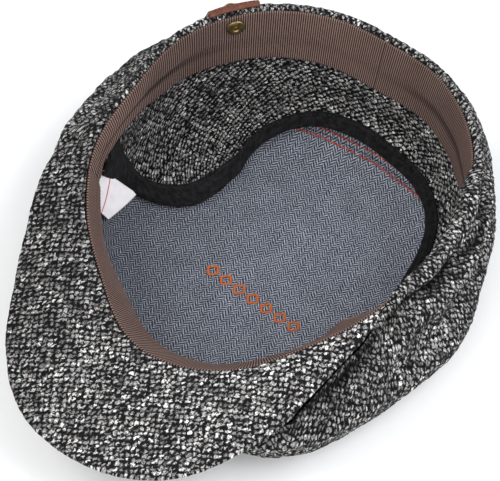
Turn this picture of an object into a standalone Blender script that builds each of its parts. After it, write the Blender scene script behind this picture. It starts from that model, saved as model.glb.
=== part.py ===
"""Earflap cap lying upside down on its crown, with the ear flap folded in.

The peak points along -Y, the wearer's left is -X, and the opening faces up.
Sizes are in millimetres here and become metres when each mesh is made.
"""
import bpy
import bmesh
import numpy as np

MM = 0.001

# Head opening
HEAD_LENGTH = 198.0
HEAD_WIDTH = 165.0
RIM_HEIGHT = 58.0
RIM_PITCH = 11.0
RIM_LEAN = 4.0

# Crown
CROWN_RADIUS = 105.0
TWEED = 2.2
ROLL = 4.7
NECK = 9.0
RISE_UNDER_RIM = 8.0

# Peak
PEAK_REACH = 57.0
PEAK_THICK = 3.2
PEAK_EDGE_HEIGHT = 50.0
PEAK_NOSE = 0.9

# Sweatband, flap, lining and trims
BAND_WIDTH = 28.5
BAND_THICK = 1.0
FLAP_DEPTH = 88.0
FLAP_THICK = 1.8
BINDING_WIDTH = 8.0
BINDING_THICK = 0.8
LINING_THICK = 0.8
LINING_TOP = 8.6
LINING_FLOOR = 4.2
PATCH_WIDTH = 24.0
PATCH_DROP = 34.0
PATCH_THICK = 1.4
RIVET_HEAD = 9.0
RIVET_SHANK = 3.0
RIVET_DROP = 5.6
RIVET_ANGLE = 228.5
LABEL_THICK = 0.6
LABEL_ROOT = (289.0, 305.0)
LABEL_TIP = (284.4, 303.0)
LABEL_START = 12.0
LABEL_REACH = (47.0, 31.0)
LABEL_LIFT = 0.8
LABEL_CURL = 1.6
GAP = 0.35
FLAP_CLEAR = 1.0
FLAP_TOP = 5.0
FLAP_RAMP = 5.0

# Place of the model's own origin, under the middle of its box
CENTRE_X = 0.0
CENTRE_Y = -23.9

# Sections round the opening, by angle in degrees from the front, turning to the wearer's right.
# rim: share of the head oval; lean: how far the band leans in, share of its width;
# wall, skirt, hem: how far the lining stands in from the rim at 2/3, 1/3 and 1/6 of its height,
# share of the crown radius; shoulder: how far the tweed stands out just under its roll, same share;
# dent: depth of the fold in the wall; bulge, rise: widest place and its height, share of the
# rim's height; foot: where the crown meets the ground.
SECTIONS = (
    # angle,  rim,   lean, wall,   skirt, hem,  shoulder, dent, bulge, rise, foot
    (0.0,    1.015, 0.66, 0.060, 0.125, 0.190, 0.04, 0.00, 1.230, 0.44, 1.00),
    (22.5,   0.995, 0.63, 0.060, 0.125, 0.190, 0.06, 0.00, 1.140, 0.60, 0.95),
    (45.0,   0.938, 0.57, 0.055, 0.115, 0.175, 0.08, 0.01, 1.170, 0.70, 0.90),
    (67.5,   0.944, 0.50, 0.048, 0.105, 0.160, 0.10, 0.04, 1.045, 0.58, 0.84),
    (90.0,   0.975, 0.40, 0.018, 0.054, 0.130, 0.10, 0.05, 1.020, 0.48, 0.79),
    (112.5,  1.025, 0.27, -0.012, 0.036, 0.115, 0.08, 0.04, 0.988, 0.44, 0.79),
    (135.0,  1.040, 0.18, -0.018, 0.034, 0.115, 0.05, 0.01, 1.030, 0.50, 0.82),
    (157.5,  0.993, 0.18, -0.014, 0.052, 0.135, 0.05, 0.00, 1.060, 0.52, 0.84),
    (180.0,  0.922, 0.24, 0.000, 0.074, 0.155, 0.04, 0.00, 1.060, 0.48, 0.84),
    (202.5,  0.954, 0.19, -0.006, 0.072, 0.155, 0.03, 0.00, 1.050, 0.48, 0.84),
    (225.0,  1.012, 0.15, -0.016, 0.052, 0.135, 0.01, 0.00, 1.055, 0.52, 0.82),
    (247.5,  1.040, 0.13, -0.020, 0.032, 0.115, 0.03, 0.00, 1.045, 0.60, 0.80),
    (270.0,  0.996, 0.14, -0.018, 0.024, 0.115, 0.07, 0.01, 1.015, 0.68, 0.79),
    (292.5,  1.002, 0.26, -0.004, 0.044, 0.125, 0.08, 0.01, 1.000, 0.74, 0.80),
    (315.0,  0.960, 0.33, 0.028, 0.083, 0.150, 0.05, 0.01, 1.000, 0.55, 0.85),
    (337.5,  0.940, 0.50, 0.048, 0.115, 0.175, 0.04, 0.00, 1.160, 0.46, 0.93),
)
SECTION_COLUMNS = (
    "angle", "rim", "lean", "wall", "skirt", "hem", "shoulder", "dent", "bulge", "rise", "foot",
)

# The peak: how far it reaches past the rim, and how high its edge stands. Share of its own sizes.
# cover: how far out under the peak the crown's tweed is sewn, share of the reach;
# sink: how deep under the peak's face the tweed's edge lies, in thicknesses of the peak.
PEAK_ROWS = (
    # angle, reach, height, cover, sink
    (-90.0,  0.00, 1.24, 0.00, 0.00),
    (-77.0,  0.00, 1.19, 0.00, 0.00),
    (-72.0,  0.03, 1.15, 0.30, 1.60),
    (-69.0,  0.12, 1.11, 0.60, 1.75),
    (-65.0,  0.27, 1.06, 0.78, 1.75),
    (-61.0,  0.32, 1.03, 0.80, 1.75),
    (-51.0,  0.40, 0.96, 0.80, 1.75),
    (-43.0,  0.47, 0.88, 0.78, 1.75),
    (-35.0,  0.57, 0.80, 0.75, 1.75),
    (-27.0,  0.72, 0.72, 0.72, 1.75),
    (-19.0,  0.88, 0.67, 0.70, 1.75),
    (-12.0,  0.97, 0.62, 0.69, 1.75),
    (-5.0,   1.01, 0.60, 0.67, 1.75),
    (2.0,    1.01, 0.59, 0.65, 1.75),
    (8.0,    1.00, 0.59, 0.62, 1.75),
    (14.0,   0.97, 0.59, 0.56, 1.75),
    (20.0,   0.91, 0.60, 0.50, 1.75),
    (25.0,   0.81, 0.61, 0.50, 1.75),
    (28.0,   0.74, 0.62, 0.52, 1.75),
    (31.0,   0.67, 0.63, 0.56, 1.75),
    (36.0,   0.57, 0.66, 0.66, 1.75),
    (41.0,   0.48, 0.70, 0.82, 1.75),
    (44.0,   0.43, 0.73, 1.00, 1.45),
    (47.0,   0.38, 0.75, 1.00, 0.50),
    (50.0,   0.34, 0.77, 1.00, -0.10),
    (54.0,   0.29, 0.80, 1.00, -0.20),
    (63.0,   0.19, 0.87, 1.00, 0.00),
    (71.0,   0.09, 0.93, 1.00, 0.00),
    (77.0,   0.04, 0.98, 1.00, 0.00),
    (83.0,   0.00, 1.01, 1.00, 0.00),
)
PEAK_COLUMNS = ("angle", "reach", "height", "cover", "sink")
PEAK_LEFT_END = -69.0
PEAK_RIGHT_END = 78.0

# The flap's free edge, from its right end round the back to its left end.
# top: angle where the row leaves the rim; edge: angle where it ends; depth: share of the flap's.
FLAP_ROWS = (
    # top,  edge,  depth
    (96.0,  88.0,  0.355),
    (98.0,  93.0,  0.44),
    (102.0, 100.0, 0.50),
    (108.0, 108.0, 0.545),
    (116.0, 117.0, 0.58),
    (127.0, 128.0, 0.595),
    (140.0, 140.0, 0.593),
    (152.0, 152.0, 0.606),
    (165.0, 164.0, 0.625),
    (179.0, 179.0, 0.594),
    (191.0, 192.0, 0.615),
    (203.0, 205.0, 0.682),
    (214.0, 217.0, 0.79),
    (222.0, 224.5, 0.873),
    (229.0, 233.0, 0.967),
    (241.0, 246.0, 0.99),
    (252.0, 260.5, 0.925),
    (259.0, 271.5, 0.836),
    (263.0, 278.0, 0.75),
    (266.0, 281.0, 0.66),
    (268.0, 282.5, 0.555),
    (270.0, 283.8, 0.44),
    (272.0, 285.5, 0.345),
)
FLAP_COLUMNS = ("top", "edge", "depth")

# The seam between the two lining pieces, as a distance in from the rim along the lining,
# share of the crown radius.
LINING_SEAM = (
    # angle, along
    (0.0,    0.20),
    (45.0,   0.24),
    (90.0,   0.38),
    (125.0,  0.46),
    (148.0,  0.50),
    (160.0,  0.557),
    (175.0,  0.56),
    (190.0,  0.57),
    (205.0,  0.565),
    (225.0,  0.52),
    (270.0,  0.40),
    (315.0,  0.24),
)
LINING_COLUMNS = ("angle", "along")

# Angles of the sections that are meshed, closer together where the peak ends
STATIONS = sorted(
    set(np.arange(-180.0, 180.0, 6.0).tolist())
    | {-81.0, -75.0, -69.0, 33.0, 39.0, 45.0, 51.0, 75.0, 81.0}
)


def column(table, names, name, angle, period=None):
    """Smoothly interpolated value of one column of a table, at angles in degrees."""
    rows = np.array(table, float)
    x = rows[:, 0]
    y = rows[:, names.index(name)]
    if period:
        x = np.concatenate([x - period, x, x + period])
        y = np.tile(y, 3)
        angle = np.mod(angle, period)
    else:
        angle = np.clip(angle, x[0], x[-1])
    secant = np.diff(y) / np.diff(x)
    left = np.concatenate([secant[:1], secant])
    right = np.concatenate([secant, secant[-1:]])
    same = left * right > 0
    slope = np.where(same, 2 * left * right / np.where(same, left + right, 1.0), 0.0)
    if period:
        slope = 0.5 * (left + right)
    i = np.clip(np.searchsorted(x, angle, side="right") - 1, 0, len(x) - 2)
    h = x[i + 1] - x[i]
    t = (angle - x[i]) / h
    return (
        y[i] * (1 + 2 * t) * (1 - t) ** 2
        + slope[i] * h * t * (1 - t) ** 2
        + y[i + 1] * t * t * (3 - 2 * t)
        - slope[i + 1] * h * t * t * (1 - t)
    )


def section(name, angle):
    return column(SECTIONS, SECTION_COLUMNS, name, angle, 360.0)


def peak_value(name, angle):
    turned = np.mod(angle + 180.0, 360.0) - 180.0
    return column(PEAK_ROWS, PEAK_COLUMNS, name, turned)


def rim(angle):
    """Radius and height of the rim at one angle."""
    a = np.radians(angle)
    oval = 1.0 / np.hypot(np.sin(a) / (HEAD_WIDTH / 2), np.cos(a) / (HEAD_LENGTH / 2))
    radius = oval * section("rim", angle)
    x, y = radius * np.sin(a), -radius * np.cos(a)
    height = RIM_HEIGHT + y * np.tan(np.radians(RIM_PITCH)) - x * np.tan(np.radians(RIM_LEAN))
    return float(radius), float(height)


def smooth_line(points, count):
    """Points spread evenly along a smooth curve through a few control points."""
    p = np.array(points, float)
    ends = np.vstack([2 * p[0] - p[1], p, 2 * p[-1] - p[-2]])
    fine = []
    for i in range(len(p) - 1):
        p0, p1, p2, p3 = ends[i:i + 4]
        k1 = np.sqrt(np.linalg.norm(p2 - p1))
        k0 = np.sqrt(np.linalg.norm(p1 - p0))
        k2 = np.sqrt(np.linalg.norm(p3 - p2))
        m1 = (p2 - p1) / k1 + (p1 - p0) / k0 - (p2 - p0) / (k0 + k1)
        m2 = (p2 - p1) / k1 + (p3 - p2) / k2 - (p3 - p1) / (k1 + k2)
        for t in np.linspace(0, 1, 12, endpoint=False):
            fine.append(
                p1 * (1 + 2 * t) * (1 - t) ** 2 + m1 * k1 * t * (1 - t) ** 2
                + p2 * t * t * (3 - 2 * t) - m2 * k1 * t * t * (1 - t)
            )
    fine.append(p[-1])
    fine = np.array(fine)
    run = np.concatenate([[0], np.cumsum(np.linalg.norm(np.diff(fine, axis=0), axis=1))])
    want = np.linspace(0, run[-1], count) if np.isscalar(count) else np.asarray(count, float)
    return np.stack([np.interp(want, run, fine[:, k]) for k in range(2)], 1)


def offset(line, distance):
    """The line moved to its left-hand side by a distance, one value or one for each point."""
    ahead = np.gradient(line, axis=0)
    ahead /= np.linalg.norm(ahead, axis=1)[:, None]
    normal = np.stack([-ahead[:, 1], ahead[:, 0]], 1)
    return line + normal * np.reshape(distance, (-1, 1))


def place(angle, line):
    """Section points (radius, height) turned to their angle."""
    a = np.radians(angle)
    line = np.asarray(line, float)
    return np.stack([line[:, 0] * np.sin(a), -line[:, 0] * np.cos(a), line[:, 1]], 1)


def peak_line(angle, share):
    """Radius and height on the peak's face, from the rim at 0 to its edge at 1."""
    radius, height = rim(angle)
    reach = PEAK_REACH * peak_value("reach", angle)
    low = PEAK_EDGE_HEIGHT * peak_value("height", angle)
    drop = height + 0.5 - low
    share = np.asarray(share, float)
    fall = share * share * (1.6 - 0.6 * share)
    return radius + 0.3 + share * reach, height + 0.5 - drop * np.where(reach > 1, fall, 0.0)


def crown_wall(angle):
    """Outer line of the crown wall: its rolled edge, then the wall down to the ground."""
    radius, height = rim(angle)
    reach = PEAK_REACH * peak_value("reach", angle)
    cover = peak_value("cover", angle)
    out, top = peak_line(angle, min(cover, 1.0))
    sink = float(peak_value("sink", angle))
    top = float(top) - PEAK_THICK * sink
    under = min(1.0, max(0.0, sink / 1.75))
    beside = (PEAK_NOSE + GAP) * min(1.0, reach / 2.0)
    start = max(float(out) + beside, radius + 0.3 + 4.6 * min(1.0, 2.2 * under))
    bulge = CROWN_RADIUS * section("bulge", angle)
    foot = CROWN_RADIUS * section("foot", angle)
    shoulder = CROWN_RADIUS * section("shoulder", angle)
    dent = CROWN_RADIUS * section("dent", angle)
    rise = min(height * section("rise", angle), top - RISE_UNDER_RIM)
    roll = [
        (start, top - 0.5 * ROLL), (start + 0.15 * ROLL, top - 0.1 * ROLL), (start + 0.5 * ROLL, top),
        (start + 0.87 * ROLL, top - 0.2 * ROLL),
    ]
    edge = (start + ROLL + 0.4, top - 0.7 * ROLL)
    wide = max(bulge, edge[0] - 5.0)
    slack = wide - edge[0]
    fall = edge[1] - rise
    body = [edge]
    if under < 0.5:
        ledge = min(NECK, 0.45 * fall)
        droop = ledge * (1 - 0.4 * min(1.0, dent / 4.0))
        body.append((edge[0] + min(shoulder, 0.6 * slack), edge[1] - droop))
        body.append((edge[0] + 0.62 * slack - dent, edge[1] - ledge - 0.40 * (fall - ledge)))
    else:
        body.append((edge[0] + 0.55 * slack, edge[1] - 0.45 * fall))
    body += [(wide, rise), (foot + 0.72 * (wide - foot), 0.30 * rise), (foot, 0.0)]
    return roll, body


def lining_line(angle, count=None):
    """Inner face of the lining from the rim down and in to the middle."""
    radius, height = rim(angle)
    wall = CROWN_RADIUS * section("wall", angle)
    skirt = CROWN_RADIUS * section("skirt", angle)
    hem = CROWN_RADIUS * section("hem", angle)
    points = [
        (radius + 1.8, height - LINING_TOP),
        (radius - wall, 0.66 * height),
        (radius - skirt, 0.33 * height),
        (radius - hem, 0.155 * height + 1.0),
        (radius - 0.30 * CROWN_RADIUS, LINING_FLOOR + 2.0),
        (0.40 * radius, LINING_FLOOR + 0.4),
        (0.0, LINING_FLOOR),
    ]
    return smooth_line(points, 160 if count is None else count)


def lining_point(angle, along, lift=0.0):
    """Point at a distance along the lining's face, lifted off it towards the opening."""
    line = lining_line(angle)
    run = np.concatenate([[0], np.cumsum(np.linalg.norm(np.diff(line, axis=0), axis=1))])
    ahead = np.gradient(line, axis=0)
    ahead /= np.linalg.norm(ahead, axis=1)[:, None]
    at = [np.interp(along, run, line[:, k]) for k in range(2)]
    to = [np.interp(along, run, ahead[:, k]) for k in range(2)]
    size = np.hypot(*to)
    return place(angle, [(at[0] + lift * to[1] / size, at[1] - lift * to[0] / size)])[0]


def material(name, colour, roughness, metallic=0.0):
    made = bpy.data.materials.new(name)
    made.use_nodes = True
    shader = made.node_tree.nodes["Principled BSDF"]
    shader.inputs["Base Color"].default_value = (*colour, 1.0)
    shader.inputs["Roughness"].default_value = roughness
    shader.inputs["Metallic"].default_value = metallic
    return made


def add_object(name, points, faces, paint):
    """One named closed object from points in millimetres."""
    mesh = bpy.data.meshes.new(name)
    points = (np.asarray(points, float) - (CENTRE_X, CENTRE_Y, 0.0)) * MM
    mesh.from_pydata(points.tolist(), [], faces)
    work = bmesh.new()
    work.from_mesh(mesh)
    bmesh.ops.remove_doubles(work, verts=work.verts, dist=2e-6)
    bmesh.ops.dissolve_degenerate(work, edges=work.edges, dist=2e-6)
    bmesh.ops.triangulate(work, faces=work.faces)
    bmesh.ops.recalc_face_normals(work, faces=work.faces)
    if work.calc_volume(signed=True) < 0:
        bmesh.ops.reverse_faces(work, faces=work.faces)
    work.to_mesh(mesh)
    work.free()
    mesh.materials.append(paint)
    made = bpy.data.objects.new(name, mesh)
    bpy.context.scene.collection.objects.link(made)
    mesh.shade_smooth()
    mesh.set_sharp_from_angle(angle=np.radians(40.0))
    return made


def halves(points, a, b, c, d):
    """The two triangles of a four-sided face, cut along its shorter diagonal."""
    if np.linalg.norm(points[a] - points[c]) <= np.linalg.norm(points[b] - points[d]):
        return [(a, b, c), (a, c, d)]
    return [(a, b, d), (b, c, d)]


def sweep(name, loops, paint, ring=False):
    """Closed object from closed section loops of equal length."""
    rows, size = len(loops), len(loops[0])
    points = np.concatenate(loops)
    faces = []
    for i in range(rows if ring else rows - 1):
        j = (i + 1) % rows
        for k in range(size):
            m = (k + 1) % size
            faces += halves(points, i * size + k, i * size + m, j * size + m, j * size + k)
    if not ring:
        half = size // 2
        for base in (0, (rows - 1) * size):
            for k in range(half - 1):
                faces.append((base + k, base + k + 1, base + size - 2 - k, base + size - 1 - k))
    return add_object(name, points, faces, paint)


def band_loop(outer, inner):
    """Section loop down one face and back up the other."""
    return np.concatenate([outer, inner[::-1]])


def build_crown(paint):
    side_loops, top_loops = [], []
    for angle in STATIONS:
        roll, body = crown_wall(angle)
        line = smooth_line(body, 11)
        inner = offset(line, -TWEED)[[2, 4, 6, 8, 9]]
        hollow = [(roll[0][0] + 1.3, roll[0][1] - 1.3)]
        outer = np.concatenate([roll, line[:10]])
        side_loops.append(place(angle, band_loop(outer, np.concatenate([hollow, inner]))))
        ahead = (line[10] - line[9]) / np.linalg.norm(line[10] - line[9])
        up = np.array([-ahead[1], ahead[0]])
        edge = line[9] + ahead * 1.5 * GAP
        foot = line[10][0]
        under = [edge, (foot, 0.0), (0.6 * foot, 0.0), (0.0, 0.0)]
        over = [edge - up * TWEED, (foot - 1.1 * TWEED, TWEED), (0.6 * foot, TWEED), (0.0, TWEED)]
        top_loops.append(place(angle, band_loop(np.array(under), np.array(over))))
    sweep("crown_side", side_loops, paint, ring=True)
    sweep("crown_top", top_loops, paint, ring=True)


def build_peak(paint):
    loops = []
    for angle in STATIONS:
        if not PEAK_LEFT_END <= angle <= PEAK_RIGHT_END:
            continue
        share = np.linspace(0, 1, 5)
        radius, height = peak_line(angle, share)
        face = np.stack([radius, height], 1)
        ahead = face[-1] - face[-2]
        ahead /= np.linalg.norm(ahead)
        down = np.array([ahead[1], -ahead[0]])
        back = face + down * PEAK_THICK
        back[:, 0] = np.maximum(back[:, 0], radius[0] + 0.2)
        nose = [face[-1] + ahead * PEAK_NOSE + down * PEAK_THICK * k for k in (0.28, 0.72)]
        half = np.vstack([face, nose[0]])
        under = np.vstack([back, nose[1]])
        loops.append(place(angle, band_loop(half, under)))
    sweep("peak", loops, paint)


def band_faces(angle, shares):
    """Inner and outer faces of the sweatband at shares of its width."""
    radius, height = rim(angle)
    lean = BAND_WIDTH * section("lean", angle)
    drop = np.sqrt(BAND_WIDTH ** 2 - lean ** 2)
    t = np.asarray(shares, float)
    crease = 0.4 * np.clip(1 - np.abs(t - 0.45) / 0.2, 0, 1)
    inner = np.stack([radius - 1.1 - (lean - 1.1) * t - crease, height - 0.4 - drop * t], 1)
    slope = np.array([drop, -(lean - 1.1)]) / np.hypot(drop, lean - 1.1)
    return inner, inner + slope * BAND_THICK


def build_sweatband(paint):
    loops = []
    for angle in STATIONS:
        inner, outer = band_faces(angle, (0, 0.3, 0.45, 1.0))
        loops.append(place(angle, band_loop(inner, outer)))
    return sweep("sweatband", loops, paint, ring=True)


def build_lining(paint):
    side_loops, top_loops = [], []
    for angle in STATIONS:
        line = lining_line(angle)
        run = np.concatenate([[0], np.cumsum(np.linalg.norm(np.diff(line, axis=0), axis=1))])
        back = offset(line, LINING_THICK)
        seam = CROWN_RADIUS * column(LINING_SEAM, LINING_COLUMNS, "along", angle, 360.0)

        def pick(source, along):
            return np.stack([np.interp(along, run, source[:, k]) for k in range(2)], 1)

        down = seam * np.array([0, 0.22, 0.42, 0.6, 0.76, 0.88, 1.0])
        side_loops.append(place(angle, band_loop(pick(line, down), pick(back, down))))
        share = np.array([0, 0.10, 0.24, 0.50, 1.0])
        inward = seam + 1.3 * GAP + (run[-1] - seam - 1.3 * GAP) * share
        face, under = pick(line, inward), pick(back, inward)
        face[-1] = (0.0, LINING_FLOOR)
        under[-1] = (0.0, LINING_FLOOR - LINING_THICK)
        top_loops.append(place(angle, band_loop(face, under)))
    sweep("lining_side", side_loops, paint, ring=True)
    sweep("lining_top", top_loops, paint, ring=True)


def flap_rows(count):
    rows = np.array(FLAP_ROWS, float)
    at = np.arange(len(rows), dtype=float)
    table = np.column_stack([at, rows])
    names = ("at",) + FLAP_COLUMNS
    want = np.linspace(0, at[-1], count)
    return [tuple(column(table, names, name, want)) for name in FLAP_COLUMNS]


def flap_lift(left):
    """Clearance under the flap, wider where the binding passes under its edge."""
    near = np.clip((BINDING_WIDTH + FLAP_RAMP - left) / FLAP_RAMP, 0.0, 1.0)
    return FLAP_CLEAR + (BINDING_THICK + 1.4 * GAP) * near


def build_flap(paint, trim):
    tops, edges, depths = flap_rows(42)
    loops = []
    for top, edge, depth in zip(tops, edges, depths):
        length = FLAP_DEPTH * depth
        plain = np.linspace(length - FLAP_TOP, BINDING_WIDTH + FLAP_RAMP, 5)
        left = np.concatenate([plain, [BINDING_WIDTH, BINDING_WIDTH / 2, 0.0]])
        share = 1 - left / length
        angles = top + (edge - top) * share * share
        lift = flap_lift(left)
        inner = [lining_point(a, length * s, h + FLAP_THICK) for a, s, h in zip(angles, share, lift)]
        outer = [lining_point(a, length * s, h) for a, s, h in zip(angles, share, lift)]
        loops.append(np.array(inner + outer[::-1]))
    sweep("ear_flap", loops, paint)
    build_binding(loops, trim)


def build_binding(flap_loops, paint):
    """Folded strip round the flap's free edge, a channel set off the flap by the gap."""
    loops = []
    size = len(flap_loops[0]) // 2
    for loop in flap_loops:
        near = loop[:size][-3:]
        far = loop[size:][::-1][-3:]
        up = (near - far) / np.linalg.norm(near - far, axis=1)[:, None]
        ahead = near[-1] - near[-2]
        ahead /= np.linalg.norm(ahead)
        skew = float((far[-1] - near[-1]) @ ahead)
        g, t = 1.4 * GAP, 1.4 * GAP + BINDING_THICK
        near_end = near[-1] + ahead * (1.2 * g + max(0.0, skew))
        far_end = far[-1] + ahead * (1.2 * g + max(0.0, -skew))
        middle = (near_end + far_end) / 2
        outside = [*(near + up * t), middle + ahead * BINDING_THICK, *(far - up * t)[::-1]]
        inside = [*(near[:2] + up[:2] * g), near_end + up[-1] * g, middle]
        inside += [far_end - up[-1] * g, *(far[:2] - up[:2] * g)[::-1]]
        loops.append(np.array(outside + inside[::-1]))
    sweep("flap_binding", loops, paint)


def build_label(paint):
    """Folded label, from behind the sweatband out over the lining."""
    loops = []
    for side in np.linspace(0, 1, 6):
        share = np.linspace(0, 1, 7)
        root = LABEL_ROOT[0] + (LABEL_ROOT[1] - LABEL_ROOT[0]) * side
        tip = LABEL_TIP[0] + (LABEL_TIP[1] - LABEL_TIP[0]) * side
        angles = root + (tip - root) * share
        reach = LABEL_REACH[0] + (LABEL_REACH[1] - LABEL_REACH[0]) * side
        along = LABEL_START + (reach - LABEL_START) * share
        lift = LABEL_LIFT + LABEL_CURL * share ** 2
        face = [lining_point(a, s, h + LABEL_THICK) for a, s, h in zip(angles, along, lift)]
        under = [lining_point(a, s, h) for a, s, h in zip(angles, along, lift)]
        loops.append(np.array(face + under[::-1]))
    sweep("care_label", loops, paint)


def build_patch(paint):
    """Leather over the rolled rim, from its inner top edge down the outside."""
    radius, _ = rim(RIVET_ANGLE)
    half = np.degrees(PATCH_WIDTH / 2 / radius)
    loops = []
    for angle in np.linspace(RIVET_ANGLE - half, RIVET_ANGLE + half, 5):
        roll, body = crown_wall(angle)
        line = np.concatenate([roll[1:], smooth_line(body, 40)])
        run = np.concatenate([[0], np.cumsum(np.linalg.norm(np.diff(line, axis=0), axis=1))])
        want = np.concatenate([[0.8, 2.2, 3.8, 5.6], np.linspace(8.0, PATCH_DROP, 6)])
        line = np.stack([np.interp(want, run, line[:, k]) for k in range(2)], 1)
        near = offset(line, 2.6 * GAP)
        far = offset(line, 2.6 * GAP + PATCH_THICK)
        loops.append(place(angle, band_loop(far, near)))
    sweep("leather_patch", loops, paint)


def build_rivet(paint):
    """Rivet through band, tweed and leather, and the clear hole it passes."""
    inner, outer = band_faces(RIVET_ANGLE, (RIVET_DROP / BAND_WIDTH,))
    height = inner[0][1]
    roll, body = crown_wall(RIVET_ANGLE)
    line = smooth_line(body, 60)
    head = RIVET_HEAD / 2
    wall = float(np.interp(head - height, -line[:, 1], line[:, 0]))
    shank = RIVET_SHANK / 2
    ring = inner[0][0] - GAP - 1.7
    cap = wall + 3.6 * GAP + 1.2 * PATCH_THICK
    profile = [
        (ring + 0.8, 0.0), (ring + 0.8, 0.26 * head), (ring + 0.1, 0.34 * head), (ring, 0.6 * head),
        (ring + 0.1, 0.85 * head), (ring + 0.5, head), (ring + 0.9, head), (ring + 1.0, shank),
        (cap, shank), (cap, 0.95 * head), (cap + 0.5, head), (cap + 1.1, 0.8 * head), (cap + 1.5, 0.0),
    ]
    a = np.radians(RIVET_ANGLE)
    out = np.array([np.sin(a), -np.cos(a), 0.0])
    side = np.array([np.cos(a), np.sin(a), 0.0])
    up = np.array([0.0, 0.0, 1.0])
    base = up * height

    def turned(points, count):
        loops = []
        for turn in np.linspace(0, 2 * np.pi, count, endpoint=False):
            across = side * np.cos(turn) + up * np.sin(turn)
            loops.append(np.array([base + out * x + across * r for x, r in points]))
        return loops

    add_turned("rivet", turned(profile, 20), paint)
    start, end = ring - 3.0, cap + 3.0
    clear = shank + GAP
    bore = turned([(start, 0.0), (start, clear), (end, clear), (end, 0.0)], 16)
    cutter = add_turned("rivet_hole", bore, paint)
    cutter.hide_render = True
    cutter.display_type = "WIRE"
    for name in ("sweatband", "crown_side", "leather_patch"):
        cut = bpy.data.objects[name].modifiers.new("rivet hole", "BOOLEAN")
        cut.operation = "DIFFERENCE"
        cut.solver = "EXACT"
        cut.object = cutter


def add_turned(name, loops, paint):
    """Closed object from open profiles that start and end on their axis."""
    rows, size = len(loops), len(loops[0])
    faces = []
    for i in range(rows):
        j = (i + 1) % rows
        for k in range(size - 1):
            faces.append((i * size + k, i * size + k + 1, j * size + k + 1, j * size + k))
    return add_object(name, np.concatenate(loops), faces, paint)


def main():
    for old in list(bpy.data.objects):
        bpy.data.objects.remove(old, do_unlink=True)
    tweed = material("tweed", (0.16, 0.16, 0.17), 0.95)
    ribbon = material("brown ribbon", (0.18, 0.12, 0.10), 0.85)
    herringbone = material("blue herringbone lining", (0.16, 0.19, 0.25), 0.9)
    bias = material("black bias tape", (0.012, 0.012, 0.014), 0.8)
    leather = material("brown leather", (0.12, 0.055, 0.04), 0.6)
    satin = material("white satin label", (0.8, 0.8, 0.8), 0.5)
    brass = material("antique brass", (0.25, 0.18, 0.10), 0.4, 1.0)
    build_crown(tweed)
    build_peak(tweed)
    build_sweatband(ribbon)
    build_lining(herringbone)
    build_flap(tweed, bias)
    build_label(satin)
    build_patch(leather)
    build_rivet(brass)


main()
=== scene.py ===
"""Looks of the earflap cap that lies upside down, with its ear flap folded in.

Every cloth piece is made again here from the same sections as its solid, much finer, with a
cloth map in millimetres so that weave, ribs and stitches follow the cloth.
Angles are degrees from the front (-Y), turning to the wearer's right (+X).
"""

import bpy
import numpy as np
from mathutils import Matrix, Vector


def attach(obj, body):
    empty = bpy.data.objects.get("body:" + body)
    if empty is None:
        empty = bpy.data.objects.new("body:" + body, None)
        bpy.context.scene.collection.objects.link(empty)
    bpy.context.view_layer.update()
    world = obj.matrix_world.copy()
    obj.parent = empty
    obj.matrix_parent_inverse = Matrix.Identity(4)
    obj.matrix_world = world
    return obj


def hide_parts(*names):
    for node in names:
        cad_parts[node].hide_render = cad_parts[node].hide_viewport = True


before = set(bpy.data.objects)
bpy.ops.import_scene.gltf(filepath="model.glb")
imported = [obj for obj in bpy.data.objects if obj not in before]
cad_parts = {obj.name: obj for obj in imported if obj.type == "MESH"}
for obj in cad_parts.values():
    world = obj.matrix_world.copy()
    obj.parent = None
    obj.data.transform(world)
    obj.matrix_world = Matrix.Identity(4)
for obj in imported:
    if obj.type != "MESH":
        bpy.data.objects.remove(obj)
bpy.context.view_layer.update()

MM = 0.001
CENTRE = np.array((0.0, -23.9, 0.0))

# Sizes of the cap, in millimetres
HEAD_LENGTH = 198.0
HEAD_WIDTH = 165.0
RIM_HEIGHT = 58.0
RIM_PITCH = 11.0
RIM_LEAN = 4.0
CROWN_RADIUS = 105.0
TWEED = 2.2
ROLL = 4.7
NECK = 9.0
RISE_UNDER_RIM = 8.0
PEAK_REACH = 57.0
PEAK_THICK = 3.2
PEAK_EDGE_HEIGHT = 50.0
PEAK_NOSE = 0.9
PEAK_ROOT = 0.3
PEAK_ROOT_RISE = 0.5
PEAK_ENDS = (-73.2, 78.01)
BAND_WIDTH = 28.5
BAND_THICK = 1.0
BAND_INSET = 1.1
BAND_DROP = 0.4
FLAP_DEPTH = 88.0
FLAP_THICK = 1.8
BINDING_WIDTH = 8.0
BINDING_THICK = 0.8
LINING_THICK = 0.8
LINING_TOP = 8.6
LINING_FLOOR = 4.2
PATCH_WIDTH = 24.0
PATCH_DROP = 34.0
PATCH_THICK = 1.4
RIVET_HEAD = 9.0
RIVET_SHANK = 3.0
RIVET_DROP = 5.6
RIVET_ANGLE = 228.5
LABEL_THICK = 0.6
LABEL_ROOT = (291.0, 305.0)
LABEL_TIP = (284.4, 303.0)
LABEL_START = 12.0
LABEL_REACH = (47.0, 31.0)
LABEL_LIFT = 0.8
LABEL_CURL = 1.6
LABEL_SHIFT = 1.5
LABEL_WIDTH = 20.0
LABEL_LINE = 10.0
GAP = 0.35
FLAP_CLEAR = 1.0
FLAP_TOP = 5.0
FLAP_RAMP = 5.0
TAPE_GAP = 1.4 * GAP
PATCH_GAP = 2.6 * GAP

# Sizes that show only in the looks
NUB = 2.35
RIB = 1.1
CHEVRON = 2.28
TWILL = 1.87
PEAK_WEAVE_TURN = 32.7
WALL_WEAVE_TURN = 46.0
FLAP_WEAVE_TURN = -50.0
LINING_TURN = 93.4
# Angles between which the crown's roll goes under the peak's left end
LEFT_TUCK = (-75.2, -73.4)

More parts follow.
